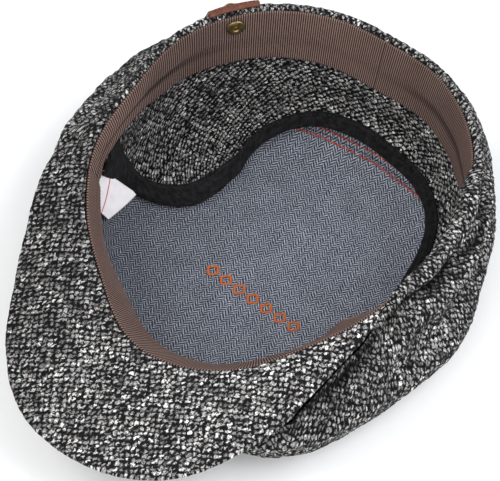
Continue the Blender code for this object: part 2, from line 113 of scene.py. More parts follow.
# The cap's section every 22.5 degrees. rim: share of the head's oval; lean: of the sweatband's
# width; rise: of the rim's height; the rest: of the crown's radius.
SECTIONS = (
    ("angle", "rim", "lean", "wall", "skirt", "hem", "shoulder", "dent", "bulge", "rise", "foot"),
    (0.0, 1.015, 0.66, 0.060, 0.125, 0.190, 0.04, 0.00, 1.230, 0.44, 1.00),
    (22.5, 0.995, 0.63, 0.060, 0.125, 0.190, 0.06, 0.00, 1.140, 0.60, 0.95),
    (45.0, 0.938, 0.57, 0.055, 0.115, 0.175, 0.08, 0.01, 1.170, 0.70, 0.90),
    (67.5, 0.944, 0.50, 0.048, 0.105, 0.160, 0.10, 0.04, 1.045, 0.58, 0.84),
    (90.0, 0.975, 0.40, 0.018, 0.054, 0.130, 0.10, 0.05, 1.020, 0.48, 0.79),
    (112.5, 1.025, 0.27, -0.012, 0.036, 0.115, 0.08, 0.04, 0.988, 0.44, 0.79),
    (135.0, 1.040, 0.18, -0.018, 0.034, 0.115, 0.05, 0.01, 1.030, 0.50, 0.82),
    (157.5, 0.993, 0.18, -0.014, 0.052, 0.135, 0.05, 0.00, 1.060, 0.52, 0.84),
    (180.0, 0.922, 0.24, 0.000, 0.074, 0.155, 0.04, 0.00, 1.060, 0.48, 0.84),
    (202.5, 0.954, 0.19, -0.006, 0.072, 0.155, 0.03, 0.00, 1.050, 0.48, 0.84),
    (225.0, 1.012, 0.15, -0.016, 0.052, 0.135, 0.01, 0.00, 1.055, 0.52, 0.82),
    (247.5, 1.040, 0.13, -0.020, 0.032, 0.115, 0.03, 0.00, 1.045, 0.60, 0.80),
    (270.0, 0.996, 0.14, -0.018, 0.024, 0.115, 0.07, 0.01, 1.015, 0.68, 0.79),
    (292.5, 1.002, 0.26, -0.004, 0.044, 0.125, 0.08, 0.01, 1.000, 0.74, 0.80),
    (315.0, 0.960, 0.33, 0.028, 0.083, 0.150, 0.05, 0.01, 1.000, 0.55, 0.85),
    (337.5, 0.940, 0.50, 0.048, 0.115, 0.175, 0.04, 0.00, 1.160, 0.46, 0.93),
)

# The peak: how far it reaches past the rim, and how high its edge stands. Share of its own sizes.
# cover: how far out under the peak the crown's tweed is sewn, share of the reach;
# sink: how deep under the peak's face the tweed's edge lies, in thicknesses of the peak.
PEAK_ROWS = (
    ("angle", "reach", "height", "cover", "sink"),
    (-90.0, 0.00, 1.24, 0.00, 0.00),
    (-77.0, 0.00, 1.19, 0.00, 0.00),
    (-72.0, 0.03, 1.15, 0.30, 1.60),
    (-69.0, 0.12, 1.11, 0.60, 1.75),
    (-65.0, 0.27, 1.06, 0.78, 1.75),
    (-61.0, 0.32, 1.03, 0.80, 1.75),
    (-51.0, 0.40, 0.96, 0.80, 1.75),
    (-43.0, 0.47, 0.88, 0.78, 1.75),
    (-35.0, 0.57, 0.80, 0.75, 1.75),
    (-27.0, 0.72, 0.72, 0.72, 1.75),
    (-19.0, 0.88, 0.67, 0.70, 1.75),
    (-12.0, 0.97, 0.62, 0.69, 1.75),
    (-5.0, 1.01, 0.60, 0.67, 1.75),
    (2.0, 1.01, 0.59, 0.65, 1.75),
    (8.0, 1.00, 0.59, 0.62, 1.75),
    (14.0, 0.97, 0.59, 0.56, 1.75),
    (20.0, 0.91, 0.60, 0.50, 1.75),
    (25.0, 0.81, 0.61, 0.50, 1.75),
    (28.0, 0.74, 0.62, 0.52, 1.75),
    (31.0, 0.67, 0.63, 0.56, 1.75),
    (36.0, 0.57, 0.66, 0.66, 1.75),
    (41.0, 0.48, 0.70, 0.82, 1.75),
    (44.0, 0.40, 0.73, 1.00, 1.45),
    (47.0, 0.34, 0.75, 1.00, 0.50),
    (50.0, 0.285, 0.77, 1.00, -0.10),
    (54.0, 0.225, 0.80, 1.00, -0.20),
    (63.0, 0.13, 0.87, 1.00, 0.00),
    (71.0, 0.06, 0.93, 1.00, 0.00),
    (77.0, 0.03, 0.98, 1.00, 0.00),
    (83.0, 0.00, 1.01, 1.00, 0.00),
)

# The flap's free edge, from its right end round the back to its left end.
# top: angle where the row leaves the rim; edge: angle where it ends; depth: share of the flap's;
# tape: share of the binding's width.
FLAP_ROWS = (
    ("top", "edge", "depth", "tape"),
    (96.0, 88.0, 0.355, 1.00),
    (98.0, 93.0, 0.44, 1.00),
    (102.0, 100.0, 0.50, 1.00),
    (108.0, 108.0, 0.545, 1.00),
    (116.0, 117.0, 0.58, 1.00),
    (127.0, 128.0, 0.595, 1.00),
    (140.0, 140.0, 0.593, 1.00),
    (152.0, 152.0, 0.606, 1.00),
    (165.0, 164.0, 0.625, 1.00),
    (179.0, 179.0, 0.594, 1.00),
    (191.0, 192.0, 0.615, 1.00),
    (203.0, 205.0, 0.682, 1.00),
    (214.0, 217.0, 0.79, 1.00),
    (222.0, 224.5, 0.873, 1.00),
    (229.0, 233.0, 0.967, 1.00),
    (241.0, 246.0, 0.99, 1.00),
    (252.0, 260.5, 0.925, 1.05),
    (259.0, 271.5, 0.836, 1.20),
    (263.0, 278.0, 0.75, 1.40),
    (266.0, 281.0, 0.66, 1.45),
    (268.0, 282.5, 0.555, 1.40),
    (270.0, 283.8, 0.44, 1.30),
    (272.5, 286.0, 0.345, 1.15),
    (277.0, 289.0, 0.25, 1.30),
    (283.0, 292.0, 0.15, 0.70),
)

# The seam between the two lining pieces, as a distance in from the rim along the lining,
# share of the crown radius.
LINING_SEAM = (
    ("angle", "along"),
    (0.0, 0.17),
    (45.0, 0.20),
    (90.0, 0.38),
    (125.0, 0.46),
    (148.0, 0.50),
    (160.0, 0.557),
    (175.0, 0.56),
    (190.0, 0.57),
    (205.0, 0.565),
    (225.0, 0.52),
    (270.0, 0.40),
    (285.0, 0.30),
    (300.0, 0.17),
    (330.0, 0.15),
)

# How the crown's roll leans in over the sweatband and stands up, at the wearer's right
LIP_ROWS = (
    ("angle", "inward", "up"),
    (64.0, 0.0, 0.0),
    (74.0, 2.0, 2.4),
    (80.0, 2.9, 2.9),
    (90.0, 2.9, 3.1),
    (100.0, 2.9, 3.3),
    (110.0, 3.6, 3.4),
    (119.0, 4.6, 3.6),
    (126.0, 3.6, 3.2),
    (131.0, 1.6, 1.5),
    (135.0, 0.0, 0.0),
)

# The sweatband: share of its width that shows, how far its fold stands out (0 to 1), how far its
# lower edge nods inward in millimetres, and how much painted shade darkens it there.
BAND_ROWS = (
    ("angle", "shown", "fold", "nod", "dim"),
    (0.0, 0.97, 0.00, 1.4, 0.00),
    (14.0, 1.00, 0.00, 2.0, 0.00),
    (28.0, 1.00, 0.00, 2.8, 0.00),
    (38.0, 1.00, 0.00, 2.0, 0.00),
    (48.0, 1.00, 0.00, 0.9, 0.00),
    (59.0, 1.00, 0.00, 1.2, 0.00),
    (64.0, 1.00, 0.00, 3.2, 0.00),
    (69.0, 1.00, 0.00, 4.4, 0.00),
    (72.5, 1.00, 0.00, 3.8, 0.00),
    (75.5, 0.94, 0.03, 1.0, 0.00),
    (77.0, 0.88, 0.05, 0.5, 0.00),
    (88.0, 0.66, 0.10, 0.0, 0.05),
    (100.0, 0.48, 0.10, 0.0, 0.12),
    (116.0, 0.34, 0.10, 0.0, 0.26),
    (124.0, 0.40, 0.40, 0.0, 0.26),
    (130.0, 0.60, 0.70, 0.0, 0.26),
    (140.0, 0.92, 0.80, 0.0, 0.26),
    (155.0, 1.00, 0.75, 0.0, 0.24),
    (167.0, 1.00, 0.50, 0.0, 0.20),
    (176.0, 1.00, 0.12, 0.0, 0.14),
    (200.0, 1.00, 0.10, 0.0, 0.02),
    (226.0, 1.00, 0.15, 0.0, 0.10),
    (242.0, 0.94, 0.55, 0.0, 0.24),
    (256.0, 0.84, 0.90, 0.0, 0.24),
    (268.0, 0.62, 1.00, 0.0, 0.08),
    (277.0, 0.56, 1.00, 0.0, 0.00),
    (286.0, 0.53, 1.00, 0.0, 0.00),
    (292.0, 0.47, 0.90, 0.0, 0.00),
    (298.0, 0.56, 0.50, 0.0, 0.00),
    (304.0, 0.70, 0.25, 0.0, 0.00),
    (311.0, 0.79, 0.10, 0.2, 0.00),
    (325.0, 0.87, 0.00, 0.5, 0.00),
    (340.0, 0.92, 0.00, 0.8, 0.00),
    (360.0, 0.97, 0.00, 1.4, 0.00),
)
BAND_CREASE = 0.58

# Painted light and shade: how the tweed's brightness changes over a piece: base, per mm of x, per
# mm of y, least, most
PEAK_LIGHT = (1.103, 0.0070, 0.0, 0.72, 1.26)
FLAP_LIGHT = (1.258, 0.0083, 0.0, 0.78, 1.03)


def column(table, name, angle, period=None):
    """Smoothly interpolated value of a table's named column, at values of its first one."""
    rows = np.array(table[1:], float)
    x, y = rows[:, 0], rows[:, table[0].index(name)]
    if period:
        x = np.concatenate([x - period, x, x + period])
        y = np.tile(y, 3)
        angle = np.mod(angle, period)
    else:
        angle = np.clip(angle, x[0], x[-1])
    secant = np.diff(y) / np.diff(x)
    left = np.concatenate([secant[:1], secant])
    right = np.concatenate([secant, secant[-1:]])
    same = left * right > 0
    slope = np.where(same, 2 * left * right / np.where(same, left + right, 1.0), 0.0)
    if period:
        slope = 0.5 * (left + right)
    i = np.clip(np.searchsorted(x, angle, side="right") - 1, 0, len(x) - 2)
    h = x[i + 1] - x[i]
    return curve(y[i], y[i + 1], slope[i] * h, slope[i + 1] * h, (angle - x[i]) / h)


def curve(start, end, leave, arrive, t):
    """A smooth step from start to end, with its slopes at both."""
    return (
        start * (1 + 2 * t) * (1 - t) ** 2 + leave * t * (1 - t) ** 2
        + end * t * t * (3 - 2 * t) - arrive * t * t * (1 - t)
    )


def section(name, angle):
    return column(SECTIONS, name, angle, 360.0)


def half_turn(angle):
    """The angle as a number from -180 to 180."""
    return np.mod(np.asarray(angle) + 180.0, 360.0) - 180.0


def peak_value(name, angle):
    return column(PEAK_ROWS, name, half_turn(angle))


def rim(angle):
    """Radius and height of the rim at one angle or several."""
    a = np.radians(angle)
    oval = 1.0 / np.hypot(np.sin(a) / (HEAD_WIDTH / 2), np.cos(a) / (HEAD_LENGTH / 2))
    radius = oval * section("rim", angle)
    x, y = radius * np.sin(a), -radius * np.cos(a)
    return radius, RIM_HEIGHT + y * np.tan(np.radians(RIM_PITCH)) - x * np.tan(np.radians(RIM_LEAN))


def smooth_line(points, count):
    """Points spread evenly along a smooth curve through a few control points."""
    p = np.array(points, float)
    ends = np.vstack([2 * p[0] - p[1], p, 2 * p[-1] - p[-2]])
    t = np.linspace(0, 1, 12, endpoint=False)[:, None]
    fine = []
    for i in range(len(p) - 1):
        p0, p1, p2, p3 = ends[i:i + 4]
        k0, k1, k2 = (np.sqrt(np.linalg.norm(b - a)) for a, b in ((p0, p1), (p1, p2), (p2, p3)))
        m1 = (p2 - p1) / k1 + (p1 - p0) / k0 - (p2 - p0) / (k0 + k1)
        m2 = (p2 - p1) / k1 + (p3 - p2) / k2 - (p3 - p1) / (k1 + k2)
        fine.append(curve(p1, p2, m1 * k1, m2 * k1, t))
    fine = np.vstack(fine + [p[-1:]])
    return resample(fine, np.linspace(0, run_of(fine)[-1], count))


def offset(line, distance):
    """The line moved to its left-hand side by a distance."""
    ahead = unit(np.gradient(line, axis=0))
    return line + np.stack([-ahead[:, 1], ahead[:, 0]], 1) * np.reshape(distance, (-1, 1))


def unit(vectors):
    return vectors / np.linalg.norm(vectors, axis=-1, keepdims=True)


def run_of(line):
    """Distance along a line to each of its points."""
    return np.concatenate([[0], np.cumsum(np.linalg.norm(np.diff(line, axis=0), axis=1))])


def resample(line, want, values=None):
    """Points of a line, or values given at its points, at distances along it."""
    values = line if values is None else values
    run = run_of(line)
    return np.stack([np.interp(want, run, values[:, k]) for k in range(values.shape[1])], 1)


def place(angle, line):
    """Section points (radius, height) turned to their angle."""
    a = np.radians(angle)
    line = np.asarray(line, float)
    return np.stack([line[..., 0] * np.sin(a), -line[..., 0] * np.cos(a), line[..., 1]], -1)


def place_all(angles, lines):
    """Lines of section points, each turned to its own angle."""
    return np.array([place(angle, line) for angle, line in zip(angles, lines)])


def ease(share):
    """Smooth step from 0 to 1."""
    t = np.clip(share, 0.0, 1.0)
    return t * t * (3 - 2 * t)


def peak_line(angle, share, least=0.0):
    """Radius and height on the peak's face, from the rim at 0 to its edge at 1."""
    radius, height = rim(angle)
    reach = np.maximum(PEAK_REACH * peak_value("reach", angle), least)
    height = height + PEAK_ROOT_RISE
    drop = height - PEAK_EDGE_HEIGHT * peak_value("height", angle)
    share = np.asarray(share, float)
    fall = share * share * (1.6 - 0.6 * share)
    return radius + PEAK_ROOT + share * reach, height - drop * np.where(reach > 1, fall, 0.0)


def crown_wall(angle):
    """Lines of the crown wall: its rolled edge and the wall down to the ground; then its lip."""
    radius, height = rim(angle)
    turn = half_turn(angle)
    reach = PEAK_REACH * peak_value("reach", angle)
    cover = peak_value("cover", angle)
    risen = ease((turn - 37.0) / 4.0) * ease((60.0 - turn) / 10.0)
    cover += (max(cover, 1.0) - cover) * risen
    out, top = peak_line(angle, min(cover, 1.0))
    sink = float(peak_value("sink", angle)) * (1 - 0.8 * risen)
    if turn < 0:
        tucked = ease((turn - LEFT_TUCK[0]) / (LEFT_TUCK[1] - LEFT_TUCK[0]))
        sink, reach = sink * tucked, reach * tucked
        out = radius + PEAK_ROOT + (out - radius - PEAK_ROOT) * tucked
    top = float(top) - PEAK_THICK * sink
    under = min(1.0, max(0.0, sink / 1.75))
    beside = (PEAK_NOSE + GAP) * min(1.0, reach / 2.0) - 0.45 * ease((turn - 36.0) / 4.0)
    start = max(float(out) + beside, radius + PEAK_ROOT + 4.6 * min(1.0, 2.2 * under))
    bulge, foot, shoulder, dent = (
        CROWN_RADIUS * section(name, angle) for name in ("bulge", "foot", "shoulder", "dent")
    )
    rise = min(height * section("rise", angle), top - RISE_UNDER_RIM)
    roll = [
        (start + ROLL * along, top - ROLL * down)
        for along, down in ((0.0, 0.5), (0.15, 0.1), (0.5, 0.0), (0.87, 0.2))
    ]
    inward, up = (float(column(LIP_ROWS, name, turn)) for name in ("inward", "up"))
    over = min(1.0, up / 2.4)
    if over > 0:
        lip = [
            (start - inward, top + 0.4), (start - inward + 0.4, top + 0.7 * up),
            (start + 1.2, top + 1.1 * up), (start + 4.9, top + 0.5 * up),
        ]
        roll = [tuple(np.array(a) * (1 - over) + np.array(b) * over) for a, b in zip(roll, lip)]
    edge = (start + ROLL + 0.4 + 0.8 * over, top - 0.7 * ROLL + 0.8 * over)
    wide = max(bulge, edge[0] - 5.0)
    slack, fall = wide - edge[0], edge[1] - rise
    body = [edge]
    if under < 0.5:
        ledge = min(NECK, 0.45 * fall)
        hang = ledge * (1 - 0.4 * min(1.0, dent / 4.0))
        body.append((edge[0] + min(shoulder, 0.6 * slack), edge[1] - hang))
        body.append((edge[0] + 0.62 * slack - dent, edge[1] - ledge - 0.40 * (fall - ledge)))
    else:
        body.append((edge[0] + 0.55 * slack, edge[1] - 0.45 * fall))
    body += [(wide, rise), (foot + 0.72 * (wide - foot), 0.30 * rise), (foot, 0.0)]
    return roll, body, (start + 0.1, top - (0.5 * ROLL + 0.5) * (1 - over) - 0.3 * over)


def lining_line(angle):
    """Inner face of the lining from the rim down and in to the middle."""
    radius, height = rim(angle)
    wall, skirt, hem = (CROWN_RADIUS * section(name, angle) for name in ("wall", "skirt", "hem"))
    return smooth_line([
        (radius + 1.8, height - LINING_TOP),
        (radius - wall, 0.66 * height),
        (radius - skirt, 0.33 * height),
        (radius - hem, 0.155 * height + 1.0),
        (radius - 0.30 * CROWN_RADIUS, LINING_FLOOR + 2.0),
        (0.40 * radius, LINING_FLOOR + 0.4),
        (0.0, LINING_FLOOR),
    ], 160)


def band_faces(angle, shares):
    """Points down the sweatband's inner face and the way out from it, a row for each angle."""
    radius, height = (v[:, None] for v in rim(angle))
    lean = (BAND_WIDTH * section("lean", angle))[:, None]
    drop = np.sqrt(BAND_WIDTH ** 2 - lean ** 2)
    t = np.asarray(shares, float)[None, :]
    lean = lean - BAND_INSET
    inner = np.stack([radius - BAND_INSET - lean * t, height - BAND_DROP - drop * t], -1)
    return inner, unit(np.stack([drop, -lean], -1))


# The lining's face on a fine grid: every half degree round, every half millimetre along
LINING_STEP = 0.5
LINING_TURNS = np.arange(0.0, 361.0, LINING_STEP)
LINING_STEPS = np.arange(0.0, 175.0, LINING_STEP)
_lines = [lining_line(angle) for angle in LINING_TURNS]
LINING_FACE = np.array([resample(line, LINING_STEPS) for line in _lines])
LINING_NORMAL = np.array(
    [resample(line, LINING_STEPS, offset(line, -1.0) - line) for line in _lines]
)
LINING_LONG = np.array([run_of(line)[-1] for line in _lines])


def lining_at(angle, along, lift=0.0):
    """Points at distances along the lining's face, lifted off it towards the opening."""
    angle, along, lift = np.broadcast_arrays(np.mod(angle, 360.0), along, lift)
    x = angle / LINING_STEP
    y = np.clip(along / LINING_STEP, 0, len(LINING_STEPS) - 1.001)
    i, j = np.minimum(x.astype(int), len(LINING_TURNS) - 2), y.astype(int)
    s, t = (x - i)[..., None], (y - j)[..., None]

    def mixed(grid):
        near = grid[i, j] * (1 - t) + grid[i, j + 1] * t
        far = grid[i + 1, j] * (1 - t) + grid[i + 1, j + 1] * t
        return near * (1 - s) + far * s

    return place(angle, mixed(LINING_FACE) + mixed(LINING_NORMAL) * lift[..., None])


def lining_along(x, y):
    """Angle and distance along the lining's face above one point of the plan."""
    angle = float(np.degrees(np.arctan2(x, -y)) % 360.0)
    line = LINING_FACE[int(angle / LINING_STEP)]
    order = np.argsort(line[:, 0], kind="stable")
    return angle, float(np.interp(np.hypot(x, y), line[order, 0], LINING_STEPS[order]))


# Meshes

def lattice_noise(u, v, size, seed):
    """Smooth noise from -1 to 1 with cells of one size, the same each run."""
    x, y = np.asarray(u, float) / size, np.asarray(v, float) / size
    i, j = np.floor(x).astype(np.int64), np.floor(y).astype(np.int64)
    s, t = x - i, y - j
    s, t = s * s * (3 - 2 * s), t * t * (3 - 2 * t)

    def corner(a, b):
        n = (a * 374761393 + b * 668265263 + seed * 974634777) & 0xFFFFFFFF
        n = ((n ^ (n >> 13)) * 1274126177) & 0xFFFFFFFF
        return ((n ^ (n >> 16)) & 0xFFFF) / 32767.5 - 1.0

    low = corner(i, j) * (1 - s) + corner(i + 1, j) * s
    high = corner(i, j + 1) * (1 - s) + corner(i + 1, j + 1) * s
    return low * (1 - t) + high * t


def noise_on(grid, size, seed):
    """The noise over the first two coordinates of each point of a grid."""
    return lattice_noise(grid[..., 0], grid[..., 1], size, seed)


def grid_of(x, y):
    """Pairs of two coordinates, one pair at each point of their grid."""
    return np.stack(np.broadcast_arrays(x, y), -1)


def normals(grid, ring=False):
    """Unit normals of a grid of points, rows by columns."""
    if ring:
        along = np.roll(grid, -1, axis=0) - np.roll(grid, 1, axis=0)
    else:
        along = np.gradient(grid, axis=0)
    n = np.cross(along, np.gradient(grid, axis=1))
    return n / np.maximum(np.linalg.norm(n, axis=2, keepdims=True), 1e-9)


def toward(grid, normal, centre):
    """The normals, turned so that they point away from a centre."""
    away = ((grid - centre) * normal).sum(-1).mean()
    return normal if away > 0 else -normal


def add_mesh(name, points, faces, paint, corners=None):
    """One named mesh piece from points in millimetres, its faces outward, riding with the cap."""
    mesh = bpy.data.meshes.new(name)
    points = (np.asarray(points, float) - CENTRE) * MM
    faces = np.asarray(faces)
    at = (points - points.mean(axis=0))[faces]
    outward = sum(
        (at[:, 0] * np.cross(at[:, k], at[:, k + 1])).sum() for k in range(1, faces.shape[1] - 1)
    )
    if outward < 0:
        faces = faces[:, ::-1]
        corners = None if corners is None else corners[:, ::-1]
    mesh.vertices.add(len(points))
    mesh.vertices.foreach_set("co", points.ravel())
    mesh.loops.add(faces.size)
    mesh.loops.foreach_set("vertex_index", faces.ravel())
    mesh.polygons.add(len(faces))
    mesh.polygons.foreach_set("loop_start", np.arange(0, faces.size, faces.shape[1]))
    if corners is not None:
        layer = mesh.uv_layers.new(name="cloth")
        layer.uv.foreach_set("vector", np.asarray(corners, np.float32).ravel())
    mesh.update(calc_edges=True)
    mesh.validate()
    mesh.shade_smooth()
    mesh.materials.append(paint)
    made = bpy.data.objects.new(name, mesh)
    bpy.context.scene.collection.objects.link(made)
    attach(made, "root")
    return made


def dress(node):
    """Hides a node of the row, whose place a piece takes."""
    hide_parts(node)


def shell(names, face, back, cloth, back_cloth, paint, ring=False, wrap=0.0):
    """Closed piece: rows of points down a fine face and back up its coarser back.

    names: of the piece, the node it replaces and its slot; the slot is not used. cloth and
    back_cloth map the points in millimetres. wrap is the map's length round a ring.
    """
    name, node, slot = names
    loops = np.concatenate([face, back[:, ::-1]], axis=1)
    flat = np.concatenate([cloth, back_cloth[:, ::-1]], axis=1).reshape(-1, 2)
    rows, size = loops.shape[:2]
    ii, kk = np.meshgrid(np.arange(rows if ring else rows - 1), np.arange(size), indexing="ij")
    jj, mm = (ii + 1) % rows, (kk + 1) % size
    quads = [ii * size + kk, ii * size + mm, jj * size + mm, jj * size + kk]
    quads = np.stack(quads, -1).reshape(-1, 4)
    corners = flat[quads].copy()
    if ring:
        corners[ii.ravel() == rows - 1, 2:, 0] += wrap
    else:
        caps = []
        for base in (0, (rows - 1) * size):
            for k in range(size // 2 - 1):
                cap = (base + k, base + k + 1, base + size - 2 - k, base + size - 1 - k)
                caps.append(cap if base else cap[::-1])
        quads = np.vstack([quads, np.array(caps)])
        corners = np.concatenate([corners, flat[np.array(caps)]])
    piece = add_mesh(name, loops.reshape(-1, 3), quads, paint, corners)
    dress(node)
    return piece


def point_value(piece, name, values):
    """A number at each point of a piece, for its material."""
    made = piece.data.attributes.new(name, "FLOAT", "POINT")
    made.data.foreach_set("value", np.ravel(values).astype(np.float32))


def threads(name, starts, ends, ups, paint, radius, arch):
    """Many short stitches as one piece, each a thread that arches between two points."""
    sides, steps = 6, 5
    count = len(starts)
    t = np.linspace(0, 1, steps)
    ahead = unit(ends - starts)
    side = unit(np.cross(ahead, ups))
    ups = np.cross(side, ahead)
    middle = starts[:, None] + (ends - starts)[:, None] * t[None, :, None]
    middle = middle + ups[:, None] * (arch * np.sin(np.pi * t))[None, :, None]
    thin = radius * np.sqrt(np.clip(np.sin(np.pi * (0.08 + 0.84 * t)), 0.05, 1))
    turn = np.linspace(0, 2 * np.pi, sides, endpoint=False)[None, None, :, None]
    ring = side[:, None, None] * np.cos(turn) + ups[:, None, None] * np.sin(turn)
    points = middle[:, :, None] + ring * thin[None, :, None, None]
    ends_at = np.stack([middle[:, 0], middle[:, -1]], 1)
    points = np.concatenate([points.reshape(count, -1, 3), ends_at], axis=1)
    each = steps * sides + 2
    pairs = [(k, (k + 1) % sides) for k in range(sides)]
    last = (steps - 1) * sides
    faces = []
    for a in range(0, last, sides):
        b = a + sides
        for k, m in pairs:
            faces += [(a + k, a + m, b + m), (a + k, b + m, b + k)]
    for k, m in pairs:
        faces += [(m, k, each - 2), (last + k, last + m, each - 1)]
    every = (np.array(faces)[None] + (np.arange(count) * each)[:, None, None]).reshape(-1, 3)
    add_mesh(name, points.reshape(-1, 3), every, paint)


def stitches(name, line, up, paint, margins, pitch, long, radius, arch):
    """Stitches along a line, with a margin at its start and its end."""
    starts = np.arange(margins[0], run_of(line)[-1] - margins[1], pitch)
    threads(
        name, resample(line, starts), resample(line, starts + long),
        resample(line, starts, up), paint, radius, arch,
    )


def turned(name, profile, base, out, paint):
    """Closed turned piece: a profile (distance out, radius) round an axis."""
    count, sharp = 64, 30.0
    out = unit(np.asarray(out, float))
    side = unit(np.cross(out, (0, 0, 1.0)))
    up = np.cross(side, out)
    turn = np.linspace(0, 2 * np.pi, count, endpoint=False)
    spoke = side * np.cos(turn)[:, None] + up * np.sin(turn)[:, None]
    rows = np.array(profile, float)
    inner = rows[1:-1]
    points = base + out * inner[None, :, 0, None] + spoke[:, None] * inner[None, :, 1, None]
    size = len(inner)
    ends = [base + out * rows[0, 0], base + out * rows[-1, 0]]
    faces = []
    for i in range(0, count * size, size):
        j = (i + size) % (count * size)
        for k in range(size - 1):
            faces += [(i + k, j + k + 1, i + k + 1), (i + k, j + k, j + k + 1)]
        faces += [(i, count * size, j), (i + size - 1, j + size - 1, count * size + 1)]
    made = add_mesh(name, np.vstack([points.reshape(-1, 3), ends]), faces, paint)
    made.data.set_sharp_from_angle(angle=np.radians(sharp))
    return made


# Materials

class Value:
    """A node's output. Each sum, product or power of it makes one more node."""

    def __init__(self, paint, socket):
        self.paint, self.socket = paint, socket

    def __add__(self, other):
        return self.paint.math("ADD", self, other)

    def __sub__(self, other):
        return self.paint.math("SUBTRACT", self, other)

    def __rsub__(self, other):
        return self.paint.math("SUBTRACT", other, self)

    def __mul__(self, other):
        return self.paint.math("MULTIPLY", self, other)

    def __truediv__(self, other):
        return self.paint.math("DIVIDE", self, other)

    def __pow__(self, other):
        return self.paint.math("POWER", self, other)

    __radd__, __rmul__ = __add__, __mul__


class Paint:
    """A material's node tree, built with short calls. Lengths are in millimetres."""

    def __init__(self, name, roughness, metallic=0.0, sheen=0.0, sheen_roughness=0.5, specular=0.5):
        self.material = bpy.data.materials.new(name)
        self.material.use_nodes = True
        self.tree = self.material.node_tree
        self.shader = self.tree.nodes["Principled BSDF"]
        for key, value in (
            ("Roughness", roughness), ("Metallic", metallic), ("Sheen Weight", sheen),
            ("Sheen Roughness", sheen_roughness), ("Specular IOR Level", specular),
        ):
            self.shader.inputs[key].default_value = value

    def feed(self, socket, value):
        if isinstance(value, Value):
            self.tree.links.new(value.socket, socket)
        elif isinstance(value, tuple) and len(value) == 3 and socket.type == "RGBA":
            socket.default_value = (*value, 1.0)
        else:
            socket.default_value = value

    def add(self, kind, inputs, output=0, **settings):
        """A new node's output, with its inputs linked or set."""
        made = self.tree.nodes.new("ShaderNode" + kind)
        for key, value in settings.items():
            setattr(made, key, value)
        for key, value in inputs.items():
            self.feed(made.inputs[key], value)
        return Value(self, made.outputs[output])

    def math(self, operation, *values):
        return self.add("Math", dict(enumerate(values)), operation=operation)

    def vectors(self, operation, *values):
        return self.add("VectorMath", dict(enumerate(values)), operation=operation)

    def vector(self, x, y):
        return self.add("CombineXYZ", {0: x, 1: y})

    def split(self, vector):
        """The three numbers of a vector or colour."""
        first = self.add("SeparateXYZ", {0: vector})
        return [Value(self, socket) for socket in first.socket.node.outputs]

    def cloth(self):
        """The cloth map's two coordinates."""
        return self.split(self.add("UVMap", {}, uv_map="cloth"))[:2]

    def place(self):
        """The piece's own coordinates."""
        return self.vectors("MULTIPLY", self.add("TexCoord", {}, "Object"), (1 / MM,) * 3)

    def point(self, name):
        """The number that point_value() gave to each point."""
        return self.add("Attribute", {}, "Fac", attribute_name=name)

    def noise(self, where, scale, detail=2.0, rough=0.5, output=0):
        inputs = {"Vector": where, "Scale": scale, "Detail": detail, "Roughness": rough}
        return self.add("TexNoise", inputs, output)

    def between(self, value, low, high, kind="LINEAR"):
        """0 where a value is low, 1 where it is high."""
        return self.add("MapRange", {0: value, 1: low, 2: high}, interpolation_type=kind)

    def steps(self, value, stops):
        """Colours that run into each other at steps of a value."""
        made = self.add("ValToRGB", {0: value})
        ramp = made.socket.node.color_ramp
        for k in (0, -1):
            ramp.elements[k].position, ramp.elements[k].color = stops[k][0], (*stops[k][1], 1.0)
        for at, colour in stops[1:-1]:
            ramp.elements.new(at).color = (*colour, 1.0)
        return made

    def mix(self, share, a, b, blend="MIX"):
        return self.add("Mix", {0: share, 6: a, 7: b}, 2, data_type="RGBA", blend_type=blend)

    def scaled(self, colour, factor):
        """A colour made lighter or darker by a factor."""
        grey = self.add("CombineColor", {0: factor, 1: factor, 2: factor})
        return self.mix(1.0, colour, grey, "MULTIPLY")

    def bump(self, height, distance, strength=1.0):
        return self.add("Bump", {"Height": height, "Distance": distance * MM, "Strength": strength})

    def finish(self, colour, normal=None, roughness=None):
        for key, value in (("Base Color", colour), ("Normal", normal), ("Roughness", roughness)):
            if value is not None:
                self.feed(self.shader.inputs[key], value)
        return self.material


def turn_by(degrees, x, y, size=1.0):
    """Distances along and across a direction, in steps of a size."""
    c = float(np.cos(np.radians(degrees))) / size
    s = float(np.sin(np.radians(degrees))) / size
    return x * c + y * s, y * c - x * s


